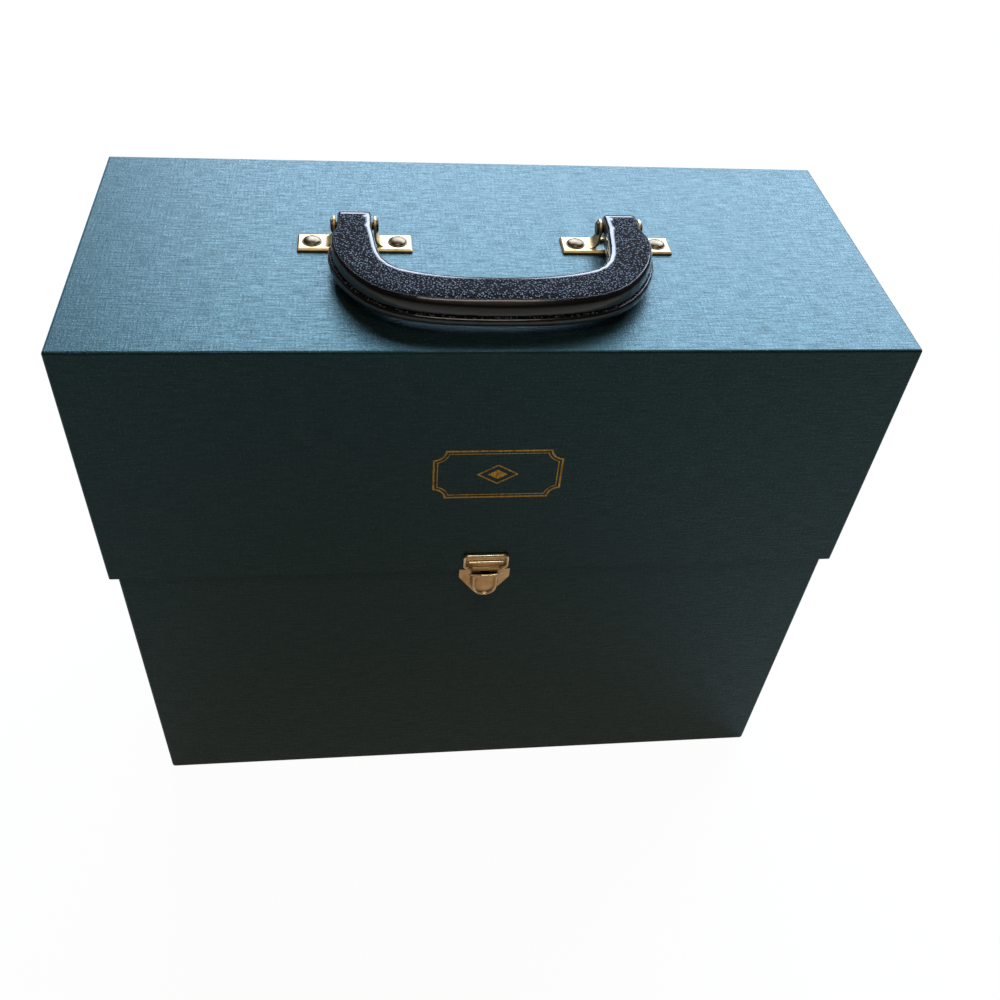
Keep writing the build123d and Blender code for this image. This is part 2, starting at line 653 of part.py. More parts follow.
with BuildPart() as handle_upper:
    loft(upper_slices, ruled=True)
    for side in (-1, 1):
        x_low, x_high = sorted((side * END_IN, side * END_OUT))
        end_slice = slice_across(Vector(x_low, 0), Vector(x_high, 0), END_LOW, END_TOP, [END_EDGE_R] * 4)
        extrude(end_slice, amount=END_L, dir=(0, -1, 0))
        with BuildSketch(Plane.XY.offset(PIVOT_Z)):
            with BuildLine():
                low_corner = corner_points(x_high, HANDLE_END_H / 2, END_EDGE_R, 0)
                high_corner = corner_points(x_low, HANDLE_END_H / 2, END_EDGE_R, pi / 2)
                Polyline((x_low, 0), (x_high, 0), *low_corner, *high_corner, close=True)
            make_face()
        revolve(axis=Axis((0, 0, PIVOT_Z), (1, 0, 0)))
        with BuildSketch(Plane.YZ.offset(x_low)):
            with Locations((0, PIVOT_Z)):
                Circle(PIN_R + PIN_PLAY)
        extrude(amount=HANDLE_END_W, mode=Mode.SUBTRACT)
finish(handle_upper, "handle_upper")

with BuildPart() as handle_lower:
    loft(lower_slices, ruled=True)
    block(
        (-OUT_X, OUT_X),
        (-END_L - PARTING_GAP, 0),
        (CASE_H, PIVOT_Z),
        Mode.SUBTRACT,
    )
finish(handle_lower, "handle_lower")


def frame_outline(inset):
    """Outline of the latch frame on the skirt's face, drawn in by an inset."""
    half = FRAME_W / 2
    foot = FRAME_FOOT_W / 2
    side_low = FRAME_LOW + FRAME_SLOPE_H
    with BuildSketch(Plane.XZ.offset(LID_Y)) as outline:
        with BuildLine():
            FilletPolyline(
                (-half, FRAME_TOP),
                (half, FRAME_TOP),
                (half, side_low),
                (foot, FRAME_LOW),
                (-foot, FRAME_LOW),
                (-half, side_low),
                radius=[FRAME_CORNER_R] * 2 + [FRAME_SIDE_R, FRAME_FOOT_R, FRAME_FOOT_R, FRAME_SIDE_R],
                close=True,
            )
        make_face()
        if inset:
            offset(amount=-inset)
    return outline.sketch


# Latch frame: a beaded rim round a sunk field with a rolled bar, on two studs through the skirt
field_depth = FRAME_T - FRAME_FLOOR
with BuildPart() as latch_frame:
    extrude(frame_outline(0), amount=FRAME_T + FRAME_BEAD_H)
    chamfer(latch_frame.faces().sort_by(Axis.Y)[0].edges(), FRAME_BEVEL)
    extrude(
        frame_outline(FRAME_BEAD_W),
        amount=FRAME_T + FRAME_BEAD_H,
        mode=Mode.SUBTRACT,
    )
    extrude(frame_outline(FRAME_BEAD_W), amount=field_depth)
    with BuildSketch(Plane.YZ.offset(-ROLL_W / 2)):
        with Locations((-LID_Y - field_depth, FRAME_LOW + ROLL_RISE)):
            Circle(ROLL_R)
    extrude(amount=ROLL_W)
    block(
        (-TONGUE_W / 2 - TONGUE_PLAY, TONGUE_W / 2 + TONGUE_PLAY),
        (-LID_Y - TONGUE_T, -LID_Y),
        (FRAME_LOW - PASS, FRAME_TOP - TONGUE_TOP + TONGUE_PLAY),
        Mode.SUBTRACT,
    )
    block((-ROLL_W / 2, ROLL_W / 2), (-LID_Y, -LID_Y + ROLL_R), (FRAME_LOW, FRAME_TOP), Mode.SUBTRACT)
    front_holes(stud_places, STUD_R, -LID_Y - field_depth, in_y, Mode.ADD)
    front_holes(stud_places, STUD_HEAD_R, in_y, in_y + CLOTH_T, Mode.ADD)
finish(latch_frame, "latch_frame")

with BuildPart() as latch_backing_plate:
    block(
        (-BACKING_W / 2, BACKING_W / 2),
        (in_y - BACKING_T, in_y),
        (STUD_Z - BACKING_H / 2, STUD_Z + BACKING_H / 2),
    )
    fillet(latch_backing_plate.edges().filter_by(Axis.Y), BACKING_R)
    front_holes(stud_places, STUD_R, in_y - PASS, in_y + PASS)
finish(latch_backing_plate, "latch_backing_plate")

tongue_low = LID_LOW - TONGUE_DROP
with BuildPart() as latch_tongue:
    block(
        (-TONGUE_W / 2, TONGUE_W / 2),
        (-LID_Y - TONGUE_T, -LID_Y),
        (tongue_low, FRAME_TOP - TONGUE_TOP),
    )
    low_corners = latch_tongue.edges().filter_by(Axis.Y).group_by(Axis.Z)[0]
    fillet(low_corners, TONGUE_CORNER_R)
    front_holes(stud_places, STUD_R, -LID_Y - TONGUE_T - PASS, -LID_Y + PASS)
    block(
        (-CATCH_SLOT_W / 2, CATCH_SLOT_W / 2),
        (-LID_Y - TONGUE_T, -LID_Y),
        (SHIELD_TOP - CATCH_SLOT_H, SHIELD_TOP),
        Mode.SUBTRACT,
    )
finish(latch_tongue, "latch_tongue")


def shield_outline(inset):
    """Outline of the latch shield on the base's cloth, drawn in by an inset."""
    half = SHIELD_W / 2
    foot = SHIELD_FOOT_W / 2
    side_low = SHIELD_TOP - SHIELD_SIDE
    foot_z = SHIELD_TOP - SHIELD_H
    with BuildSketch(Plane.XZ.offset(-BASE_FRONT)) as outline:
        with BuildLine():
            FilletPolyline(
                (-half, SHIELD_TOP),
                (half, SHIELD_TOP),
                (half, side_low),
                (foot, foot_z),
                (-foot, foot_z),
                (-half, side_low),
                radius=[0, 0, SHIELD_SHOULDER_R, SHIELD_FOOT_R, SHIELD_FOOT_R, SHIELD_SHOULDER_R],
                close=True,
            )
        make_face()
        if inset:
            offset(amount=-inset, kind=Kind.INTERSECTION)
    return outline.sketch


# Latch shield: a stamped cover with two wings, open at the top, crimped round the latch plate
shield_back = BASE_FRONT - SHIELD_PROUD + SHIELD_T
neck_top = SHIELD_TOP - NECK_DROP
neck_low = neck_top - NECK_H
nose_top = SHIELD_TOP - NOSE_PLAY
nose_low = nose_top - NOSE_H
with BuildPart() as latch_shield:
    extrude(shield_outline(0), amount=SHIELD_PROUD)
    front_edges = latch_shield.faces().sort_by(Axis.Y)[0].edges()
    fillet(front_edges.sort_by(Axis.Z)[:-1], SHIELD_EDGE_R)
    extrude(shield_outline(SHIELD_T), amount=SHIELD_PROUD - SHIELD_T, mode=Mode.SUBTRACT)
    block(
        (-SHIELD_W / 2 + SHIELD_T, SHIELD_W / 2 - SHIELD_T),
        (shield_back, BASE_FRONT),
        (SHIELD_TOP - SHIELD_T, SHIELD_TOP),
        Mode.SUBTRACT,
    )
    block(
        (-NECK_W / 2 - SLIDE_PLAY, NECK_W / 2 + SLIDE_PLAY),
        (shield_back - SHIELD_T, shield_back),
        (neck_low - SLIDE_TRAVEL - SLIDE_PLAY, neck_top + SLIDE_PLAY),
        Mode.SUBTRACT,
    )
    block(
        (-NOSE_W / 2 - SLIDE_PLAY, NOSE_W / 2 + SLIDE_PLAY),
        (shield_back - SHIELD_T, shield_back),
        (nose_low - SLIDE_PLAY, SHIELD_TOP),
        Mode.SUBTRACT,
    )
finish(latch_shield, "latch_shield")

# Latch plate: riveted to the front board, with a mouth behind the slide and a seat for its spring
plate_face = BASE_FRONT - LATCH_PLATE_T
carriage_top = neck_top + CARRIAGE_LAP
carriage_low = neck_low - CARRIAGE_LAP
slide_face = shield_back + SLIDE_PLAY
seat_z = carriage_low - SPRING_L
with BuildPart() as latch_plate:
    extrude(shield_outline(SHIELD_T + LATCH_PLATE_PLAY), amount=LATCH_PLATE_T)
    block(
        (-PLATE_MOUTH_W / 2, PLATE_MOUTH_W / 2),
        (plate_face, BASE_FRONT),
        (seat_z, SHIELD_TOP),
        Mode.SUBTRACT,
    )
    block(
        (-SPRING_FOOT_W / 2, SPRING_FOOT_W / 2),
        (slide_face, BASE_FRONT),
        (seat_z - LATCH_PLATE_T, seat_z),
    )
    front_holes(plate_rivet_places, PLATE_RIVET_R, plate_face, BASE_FRONT)
finish(latch_plate, "latch_plate")

washer_face = in_base_front + PAPER_T + PLATE_WASHER_T
with BuildPart() as latch_plate_rivets:
    front_holes(
        plate_rivet_places, PLATE_RIVET_HEAD_R, plate_face - PLATE_RIVET_HEAD_T, plate_face, Mode.ADD
    )
    front_holes(plate_rivet_places, PLATE_RIVET_R, plate_face, washer_face, Mode.ADD)
    front_holes(
        plate_rivet_places,
        PLATE_RIVET_TAIL_R,
        washer_face,
        washer_face + PLATE_RIVET_TAIL_T,
        Mode.ADD,
    )
finish(latch_plate_rivets, "latch_plate_rivets")

with BuildPart() as latch_plate_washers:
    front_holes(
        plate_rivet_places, PLATE_WASHER_R, in_base_front + PAPER_T, washer_face, Mode.ADD
    )
    front_holes(plate_rivet_places, PLATE_RIVET_R, in_base_front, washer_face)
finish(latch_plate_washers, "latch_plate_washers")

# Catch leaf: a flat spring from the latch plate's left side, with a nose for the tongue's slot
leaf_face = shield_back + LEAF_GAP
leaf_back = leaf_face + LEAF_T
leaf_top = SHIELD_TOP - SHIELD_T - LATCH_PLATE_PLAY
leaf_low = leaf_top - LEAF_W
leaf_end = NOSE_W / 2 + LEAF_REACH
leaf_root = -SHIELD_W / 2 + LEAF_ROOT_IN
leaf_low_bend = -PLATE_MOUTH_W / 2 - LEAF_BEND_IN
leaf_high_bend = -PLATE_MOUTH_W / 2 - LEAF_BEND_OUT
with BuildPart() as catch_leaf:
    with BuildSketch(Plane.XY.offset(leaf_low)):
        with BuildLine():
            Polyline(
                (leaf_root, plate_face),
                (leaf_low_bend, plate_face),
                (leaf_high_bend, leaf_back),
                (leaf_end, leaf_back),
                (leaf_end, leaf_face),
                (leaf_high_bend - LEAF_BEND_SHIFT, leaf_face),
                (leaf_low_bend - LEAF_BEND_SHIFT, plate_face - LEAF_T),
                (leaf_root, plate_face - LEAF_T),
                close=True,
            )
        make_face()
    extrude(amount=LEAF_W)
    block((-NOSE_W / 2, NOSE_W / 2), (leaf_face, leaf_back), (leaf_top, nose_top))
    block((-NOSE_W / 2, NOSE_W / 2), (-LID_Y - NOSE_REACH, leaf_back), (nose_low, nose_top))
    block((leaf_end, leaf_end + TOE_W), (leaf_face, leaf_back), (leaf_low, leaf_low + TOE_H))
finish(catch_leaf, "catch_leaf")

# Slide spring: a coil standing on the latch plate's seat, under the slide's foot
spring_y = slide_face + SPRING_R + SPRING_WIRE / 2 + SLIDE_PLAY
coil_l = SPRING_L - SPRING_WIRE - 2 * SPRING_PLAY
pitch = coil_l / SPRING_TURNS
coil_low = seat_z + SPRING_WIRE / 2 + SPRING_PLAY
with BuildPart() as slide_spring:
    with BuildLine() as coil:
        Helix(pitch, coil_l, SPRING_R, center=(0, spring_y, coil_low))
    with BuildSketch(Plane(coil.line @ 0, z_dir=coil.line % 0)):
        RegularPolygon(SPRING_WIRE / 2, SPRING_SIDES)
    sweep(path=coil.line, is_frenet=True)
finish(slide_spring, "slide_spring")

# Thumb slide: a U-shaped pad with a beaded rim and a flared lip, on a carriage behind the shield
pad_front = -LID_Y - PAD_PROUD
pad_back = -LID_Y - PAD_BACK
pad_top = LID_LOW - PAD_DROP
pad_low = pad_top - PAD_H


def pad_outline(plane, inset, top):
    """U-shaped outline of the thumb pad, drawn in by an inset, up to a level."""
    half = PAD_W / 2 - inset
    round_z = pad_low + PAD_W / 2
    with BuildSketch(plane) as outline:
        with BuildLine():
            Polyline((-half, round_z), (-half, top), (half, top), (half, round_z))
            ThreePointArc((half, round_z), (0, round_z - half), (-half, round_z))
        make_face()
    return outline.sketch


def lip_slice(x):
    """Side view of the lip at one place across it; its middle hangs lower than its ends."""
    drop = LIP_SAG * (1 - (2 * x / LIP_W) ** 2)
    tip_z = LID_LOW + LIP_RISE - drop
    tip_y = -LID_Y - LIP_REACH
    root_z = pad_top - PAD_ROOT
    with BuildSketch(Plane.YZ.offset(x)) as profile:
        with BuildLine():
            Polyline(
                (pad_back, root_z),
                (pad_front, root_z),
                (pad_front, pad_top - drop - LIP_FOOT),
                (tip_y - LIP_T, tip_z - LIP_TIP),
                (tip_y - LIP_T / 2, tip_z),
                (tip_y, tip_z),
                (-LID_Y - LIP_MOUTH, tongue_low - drop - LIP_MOUTH_DROP),
                (pad_back, tongue_low - drop - LIP_MOUTH_DROP),
                close=True,
            )
        make_face()
    return profile.sketch


with BuildPart() as thumb_slide:
    extrude(pad_outline(Plane.XZ.offset(-pad_back), 0, pad_top - PAD_ROOT), amount=PAD_PROUD - PAD_BACK)
    chamfer(thumb_slide.faces().sort_by(Axis.Y)[0].edges().sort_by(Axis.Z)[:-1], PAD_BEVEL)
    lip_places = [LIP_W * (i / (LIP_SLICES - 1) - 0.5) for i in range(LIP_SLICES)]
    loft([lip_slice(x) for x in lip_places], ruled=True)
    for side in (-1, 1):
        with BuildSketch(Plane.XZ.offset(-pad_back)):
            with BuildLine():
                FilletPolyline(
                    (side * PAD_W / 2, pad_top - PAD_ROOT),
                    (side * PAD_W / 2, LID_LOW + LIP_CORNER_Z),
                    (side * (LIP_W / 2 + PASS), LID_LOW + LIP_END_Z),
                    (side * (LIP_W / 2 + PASS), pad_top - PAD_ROOT),
                    radius=[0, LIP_CORNER_R, 0, 0],
                    close=True,
                )
            make_face()
        extrude(amount=2 * LIP_REACH, both=True, mode=Mode.SUBTRACT)
    hollow_top = pad_top - LIP_SAG - HOLLOW_DROP
    extrude(
        pad_outline(Plane.XZ.offset(-pad_front - PAD_HOLLOW), PAD_BEAD_W, hollow_top),
        amount=2 * PAD_HOLLOW,
        mode=Mode.SUBTRACT,
    )
    block((-NECK_W / 2, NECK_W / 2), (pad_back, slide_face), (neck_low, neck_top))
    block(
        (-CARRIAGE_W / 2, CARRIAGE_W / 2),
        (slide_face, slide_face + CARRIAGE_T),
        (carriage_low, carriage_top),
    )
    block(
        (-SPRING_FOOT_W / 2, SPRING_FOOT_W / 2),
        (slide_face, plate_face + LATCH_PLATE_T / 2),
        (carriage_low, carriage_low + SPRING_FOOT_H),
    )
    toe_x = leaf_end + TOE_PLAY
    ramp_low = leaf_low + TOE_H + RAMP_PLAY
    ramp_top = SHIELD_TOP - RAMP_DROP
    with BuildSketch(Plane.YZ.offset(toe_x)):
        with BuildLine():
            Polyline(
                (slide_face, carriage_top),
                (slide_face + LEAF_T, carriage_top),
                (slide_face + LEAF_T, ramp_low),
                (slide_face + LEAF_T + RAMP_T, ramp_top),
                (slide_face, ramp_top),
                close=True,
            )
        make_face()
    extrude(amount=TOE_W - TOE_PLAY)
finish(thumb_slide, "thumb_slide")
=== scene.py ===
"""Looks of a cloth-covered carrying case with a moulded handle and a brass thumb latch."""
import math

import bmesh
import bpy
from mathutils import Matrix, Vector
from mathutils.kdtree import KDTree
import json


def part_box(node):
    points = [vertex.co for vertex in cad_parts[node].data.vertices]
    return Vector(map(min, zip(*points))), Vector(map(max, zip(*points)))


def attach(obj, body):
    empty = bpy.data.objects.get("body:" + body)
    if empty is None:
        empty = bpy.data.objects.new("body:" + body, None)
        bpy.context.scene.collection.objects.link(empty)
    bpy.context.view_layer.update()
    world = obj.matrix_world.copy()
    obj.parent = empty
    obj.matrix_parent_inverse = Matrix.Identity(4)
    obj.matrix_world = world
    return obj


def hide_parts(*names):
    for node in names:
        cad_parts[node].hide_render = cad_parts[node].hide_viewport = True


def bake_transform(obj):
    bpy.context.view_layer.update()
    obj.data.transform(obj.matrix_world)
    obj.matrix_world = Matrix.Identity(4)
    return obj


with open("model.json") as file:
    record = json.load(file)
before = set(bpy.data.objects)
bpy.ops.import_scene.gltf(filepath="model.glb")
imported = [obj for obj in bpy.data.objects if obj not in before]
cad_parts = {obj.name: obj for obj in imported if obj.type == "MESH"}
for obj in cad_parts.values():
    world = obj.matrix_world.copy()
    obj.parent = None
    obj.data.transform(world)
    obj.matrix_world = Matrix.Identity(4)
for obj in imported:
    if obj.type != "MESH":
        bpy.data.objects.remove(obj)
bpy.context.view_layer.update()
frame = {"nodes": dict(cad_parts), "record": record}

MM = 0.001

# Places on the case, read from the frame
lid_low, lid_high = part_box("lid_cover")
LID_TOP = lid_high.z
LID_EDGE = lid_low.z
LID_FRONT = lid_low.y

# Sockets of the Mix node, which have the same names for numbers and colours
MIX_NUMBERS = (2, 3)
MIX_COLOURS = (6, 7)
MIX_COLOUR_OUT = 2


# Nodes
def linear(hex_colour):
    """An sRGB hex colour as the linear RGBA that shaders take."""
    channels = [int(hex_colour[i:i + 2], 16) / 255 for i in (1, 3, 5)]
    levels = [c / 12.92 if c <= 0.04045 else ((c + 0.055) / 1.055) ** 2.4 for c in channels]
    return (*levels, 1.0)


def add(tree, kind, inputs=None, **settings):
    """Adds a node with its settings. An input's value is a plain value or an output to link."""
    node = tree.nodes.new(kind)
    for name, value in settings.items():
        setattr(node, name, value)
    for key, value in (inputs or {}).items():
        if isinstance(value, bpy.types.NodeSocket):
            tree.links.new(value, node.inputs[key])
        else:
            node.inputs[key].default_value = value
    return node


def new_material(name):
    """An empty node material, and its tree."""
    material = bpy.data.materials.new(name)
    material.use_nodes = True
    material.node_tree.nodes.clear()
    return material, material.node_tree


def close_material(tree, shader):
    add(tree, "ShaderNodeOutputMaterial", {"Surface": shader})


def principled(material, tree, inputs):
    """Closes a material with a principled shader and returns the material."""
    shader = add(tree, "ShaderNodeBsdfPrincipled", inputs)
    close_material(tree, shader.outputs[0])
    return material


def object_point(tree):
    return add(tree, "ShaderNodeTexCoord").outputs["Object"]


def math_node(tree, operation, a, b=0.0):
    return add(tree, "ShaderNodeMath", {0: a, 1: b}, operation=operation).outputs[0]


def product(tree, a, b):
    return math_node(tree, "MULTIPLY", a, b)


def rest_of(tree, share):
    """What a share leaves of one."""
    return math_node(tree, "SUBTRACT", 1.0, share)


def weighted_sum(tree, a, share_a, b, share_b):
    return math_node(tree, "ADD", product(tree, a, share_a), product(tree, b, share_b))


def either(tree, switch, first, second):
    """The first number where the switch is 0, and the second where it is 1."""
    inputs = dict(zip(MIX_NUMBERS, (first, second)))
    return add(tree, "ShaderNodeMix", {"Factor": switch, **inputs}).outputs[0]


def noise(tree, vector, scale, detail=2.0, roughness=0.5, kind="3D"):
    return add(
        tree,
        "ShaderNodeTexNoise",
        {"Vector": vector, "Scale": scale, "Detail": detail, "Roughness": roughness},
        noise_dimensions=kind,
    ).outputs["Fac"]


def colour_ramp(tree, value, *stops):
    """A ramp through stops of (place, hex colour)."""
    ramp = add(tree, "ShaderNodeValToRGB", {"Fac": value})
    points = ramp.color_ramp.elements
    while len(points) < len(stops):
        points.new(0.5)
    for point, (place, colour) in zip(points, stops):
        point.position = place
        point.color = linear(colour)
    return ramp.outputs["Color"]


def span_map(tree, value, low, high, to_low=0.0, to_high=1.0):
    return add(
        tree,
        "ShaderNodeMapRange",
        {"Value": value, "From Min": low, "From Max": high, "To Min": to_low, "To Max": to_high},
    ).outputs["Result"]


def blend_colour(tree, share, first, second):
    """Mixes two colours; each is a hex string or an output."""
    node = add(tree, "ShaderNodeMix", {"Factor": share}, data_type="RGBA")
    for index, value in zip(MIX_COLOURS, (first, second)):
        if isinstance(value, str):
            node.inputs[index].default_value = linear(value)
        else:
            tree.links.new(value, node.inputs[index])
    return node.outputs[MIX_COLOUR_OUT]


def bump(tree, height, depth_mm, strength=1.0):
    inputs = {"Height": height, "Distance": depth_mm * MM, "Strength": strength}
    return add(tree, "ShaderNodeBump", inputs).outputs["Normal"]


NOISE_SPAN = (0.3, 0.7)  # holds most of a noise's values

# Bookcloth
THREAD_MM = 0.9  # threads of the real cloth are about 0.4 mm apart; drawn coarser so they show
SLUB_MM = 9.0
CLOUD_MM = (30, 14)
SPECK_MM = 0.9
RELIEF_MM = 0.22
WARP_SHARE = 0.3
WEFT_SHARE = 0.7
RIB_SHARE = 0.7
GRAIN_SHARE = 0.3
CLOUD_RELIEF = 0.8
CLOTH_SPAN = (0.35, 0.65)
FLECK_SPAN = (0.66, 0.80)
FLECK_SHARE = 0.11
SQUARE_ON = 0.75  # a face whose normal has more than this along an axis looks along that axis


def cloth_plane(tree):
    """Point on the cloth in millimetres: across the warp and along it, on each face of the case."""
    coordinates = add(tree, "ShaderNodeTexCoord").outputs
    place = add(tree, "ShaderNodeSeparateXYZ", {"Vector": coordinates["Object"]}).outputs
    facing = add(tree, "ShaderNodeSeparateXYZ", {"Vector": coordinates["Normal"]}).outputs

    def looks_along(axis):
        share = math_node(tree, "ABSOLUTE", facing[axis])
        return math_node(tree, "GREATER_THAN", share, SQUARE_ON)

    across = either(tree, looks_along("X"), place["X"], place["Y"])
    along = either(tree, looks_along("Z"), place["Z"], place["Y"])
    plane = add(tree, "ShaderNodeCombineXYZ", {"X": across, "Y": along}).outputs[0]
    scale = {0: plane, "Scale": 1 / MM}
    return add(tree, "ShaderNodeVectorMath", scale, operation="SCALE").outputs[0]


def cloth_noise(tree, plane, across_mm, along_mm, detail=2.0):
    """Noise on the cloth whose marks have a width and a length."""
    size = (1 / across_mm, 1 / along_mm, 1.0)
    stretched = add(tree, "ShaderNodeVectorMath", {0: plane, 1: size}, operation="MULTIPLY")
    return noise(tree, stretched.outputs[0], 1.0, detail, 0.6, "2D")


def bookcloth():
    """Starched cotton bookcloth, dyed dark green: satin, with slubs, its level threads stronger."""
    material, tree = new_material("bookcloth_dark_green")
    plane = cloth_plane(tree)
    warp = cloth_noise(tree, plane, THREAD_MM, SLUB_MM)
    weft = cloth_noise(tree, plane, SLUB_MM, THREAD_MM)
    grain = noise(tree, plane, 1 / THREAD_MM, 2.0, 0.6, "2D")
    cloud = cloth_noise(tree, plane, *CLOUD_MM, detail=3.0)
    ribs = weighted_sum(tree, warp, WARP_SHARE, weft, WEFT_SHARE)
    threads = weighted_sum(tree, ribs, RIB_SHARE, grain, GRAIN_SHARE)
    body = colour_ramp(tree, threads, (0.36, "#0A110F"), (0.50, "#121E1B"), (0.62, "#20302A"))
    clouded = blend_colour(tree, span_map(tree, cloud, *CLOTH_SPAN, 0.0, 0.5), body, "#0D1715")
    speck = noise(tree, plane, 1 / SPECK_MM, 1.0, 0.4, "2D")
    fleck = product(tree, span_map(tree, speck, *FLECK_SPAN), FLECK_SHARE)
    relief = math_node(tree, "ADD", threads, product(tree, cloud, CLOUD_RELIEF))
    return principled(
        material,
        tree,
        {
            "Base Color": blend_colour(tree, fleck, clouded, "#A9C4C2"),
            "Roughness": span_map(tree, threads, *CLOTH_SPAN, 0.56, 0.32),
            "Specular IOR Level": 0.7,
            "Specular Tint": linear("#A0F3FF"),
            "Sheen Weight": 0.7,
            "Sheen Roughness": 0.35,
            "Sheen Tint": linear("#8FE0F5"),
            "Normal": bump(tree, relief, RELIEF_MM),
        },
    )


# Handle moulding
PEBBLE_MM = 0.9
PEBBLE_DEPTH_MM = 0.5
FINE_PER_PEBBLE = 1.4
FINE_SHARE = 0.5
GRAINED_FACING = (0.84, 0.94)  # how far up a surface looks where the grain sets in
SIDE_FACING = (0.15, 0.5)  # and where the painted light on the grey sides gives way to black
CREST_SPAN = (-0.16, 0.02)


def moulded_plastic():
    """Black PVC moulding with a pebble grain on its top: each pebble's crest carries a small glint
    painted into its colour, and the upright sides are painted grey as lit.
    """
    material, tree = new_material("handle_black_pvc")
    point = object_point(tree)
    cells = {"Vector": point, "Scale": 1 / (PEBBLE_MM * MM)}
    pebble = add(tree, "ShaderNodeTexVoronoi", cells, feature="F1").outputs["Distance"]
    fine = noise(tree, point, FINE_PER_PEBBLE / (PEBBLE_MM * MM))
    grain = math_node(tree, "SUBTRACT", product(tree, fine, FINE_SHARE), pebble)
    facing = add(tree, "ShaderNodeTexCoord").outputs["Normal"]
    upward = add(tree, "ShaderNodeSeparateXYZ", {"Vector": facing}).outputs["Z"]
    rim = add(tree, "ShaderNodeAttribute", attribute_name="smooth_rim").outputs["Fac"]
    grained = rest_of(tree, rim)
    moulded = product(tree, span_map(tree, upward, *GRAINED_FACING), grained)
    relief = product(tree, grain, moulded)
    # Each pebble's crest is painted a lighter grey-blue: a painted glint.
    crest_painted_glint = product(tree, span_map(tree, grain, *CREST_SPAN), moulded)
    dull = product(tree, rest_of(tree, crest_painted_glint), moulded)
    # The upright sides are painted grey as the light falling on them; the black PVC shows on top.
    side = blend_colour(tree, span_map(tree, upward, *SIDE_FACING), "#5A666C", "#08090B")
    return principled(
        material,
        tree,
        {
            "Base Color": blend_colour(tree, crest_painted_glint, side, "#6E7986"),
            "Roughness": span_map(tree, dull, 0.0, 1.0, 0.2, 0.8),
            "Specular IOR Level": 0.1,
            "Coat Weight": rest_of(tree, moulded),
            "Coat Roughness": 0.18,
            "Normal": bump(tree, relief, PEBBLE_DEPTH_MM),
        },
    )


# Metals
STAIN_MM = 5
STAIN_SPAN = (0.35, 0.7)
HOLLOW_MM = 1.4
HOLLOW_SPAN = (0.95, 0.45)  # occlusion on open metal and deep in a hollow
SCRATCH_MM = 0.35
SCRATCH_DEPTH_MM = 0.01
SCRATCH_SMOOTHER = 0.06
SCRATCH_ROUGHER = 0.1
DRAWN_MM = 0.4


def brass(name, light, dark, roughness, shade_and_patina):
    """Brass sheet: lighter where it is rubbed, browner in its hollows from patina and painted shade,
    with fine scratches.
    """
    material, tree = new_material(name)
    point = object_point(tree)
    stain = noise(tree, point, 1 / (STAIN_MM * MM), 4.0, 0.6)
    reach = {"Distance": HOLLOW_MM * MM}
    hollow = add(tree, "ShaderNodeAmbientOcclusion", reach, samples=8).outputs["AO"]
    tone = blend_colour(tree, span_map(tree, stain, *STAIN_SPAN), light, dark)
    # Hollows are darkened by their occlusion: brown patina together with painted shade.
    patina_and_painted_shade = product(tree, span_map(tree, hollow, *HOLLOW_SPAN), shade_and_patina)
    colour = blend_colour(tree, patina_and_painted_shade, tone, "#2A1808")
    scratch = noise(tree, point, 1 / (SCRATCH_MM * MM), 3.0, 0.7)
    smoothest = roughness - SCRATCH_SMOOTHER
    roughest = roughness + SCRATCH_ROUGHER
    return principled(
        material,
        tree,
        {
            "Base Color": colour,
            "Metallic": 1.0,
            "Roughness": span_map(tree, scratch, *NOISE_SPAN, smoothest, roughest),
            "Normal": bump(tree, scratch, SCRATCH_DEPTH_MM, 0.5),
        },
    )


def spring_steel():
    """Bright drawn spring steel."""
    material, tree = new_material("spring_steel")
    streak = noise(tree, object_point(tree), 1 / (DRAWN_MM * MM))
    return principled(
        material,
        tree,
        {
            "Base Color": linear("#B9BCC0"),
            "Metallic": 1.0,
            "Roughness": span_map(tree, streak, *NOISE_SPAN, 0.22, 0.38),
        },
    )


# Board, paper and foil
FOIL_THREAD_STRETCH = 4
FOIL_RELIEF_MM = 0.06


def fibrous(name, fibre_mm, detail, breakup, dark, light, roughness, depth_mm):
    """Board or uncoated paper, with its fibres."""
    material, tree = new_material(name)
    fibre = noise(tree, object_point(tree), 1 / (fibre_mm * MM), detail, breakup)
    low, high = NOISE_SPAN
    colour = colour_ramp(tree, fibre, (low, dark), (high, light))
    return principled(
        material,
        tree,
        {"Base Color": colour, "Roughness": roughness, "Normal": bump(tree, fibre, depth_mm)},
    )


def gold_foil():
    """Gold foil pressed into the cloth, whose threads show through it."""
    material, tree = new_material("gold_foil")
    plane = cloth_plane(tree)
    threads = cloth_noise(tree, plane, THREAD_MM, THREAD_MM * FOIL_THREAD_STRETCH)
    colour = colour_ramp(tree, threads, (0.30, "#9C7A2C"), (0.55, "#C9A347"), (0.75, "#E0BF63"))
    return principled(
        material,
        tree,
        {
            "Base Color": colour,
            "Metallic": 0.85,
            "Roughness": span_map(tree, threads, *NOISE_SPAN, 0.55, 0.35),
            "Normal": bump(tree, threads, FOIL_RELIEF_MM, 0.8),
        },
    )


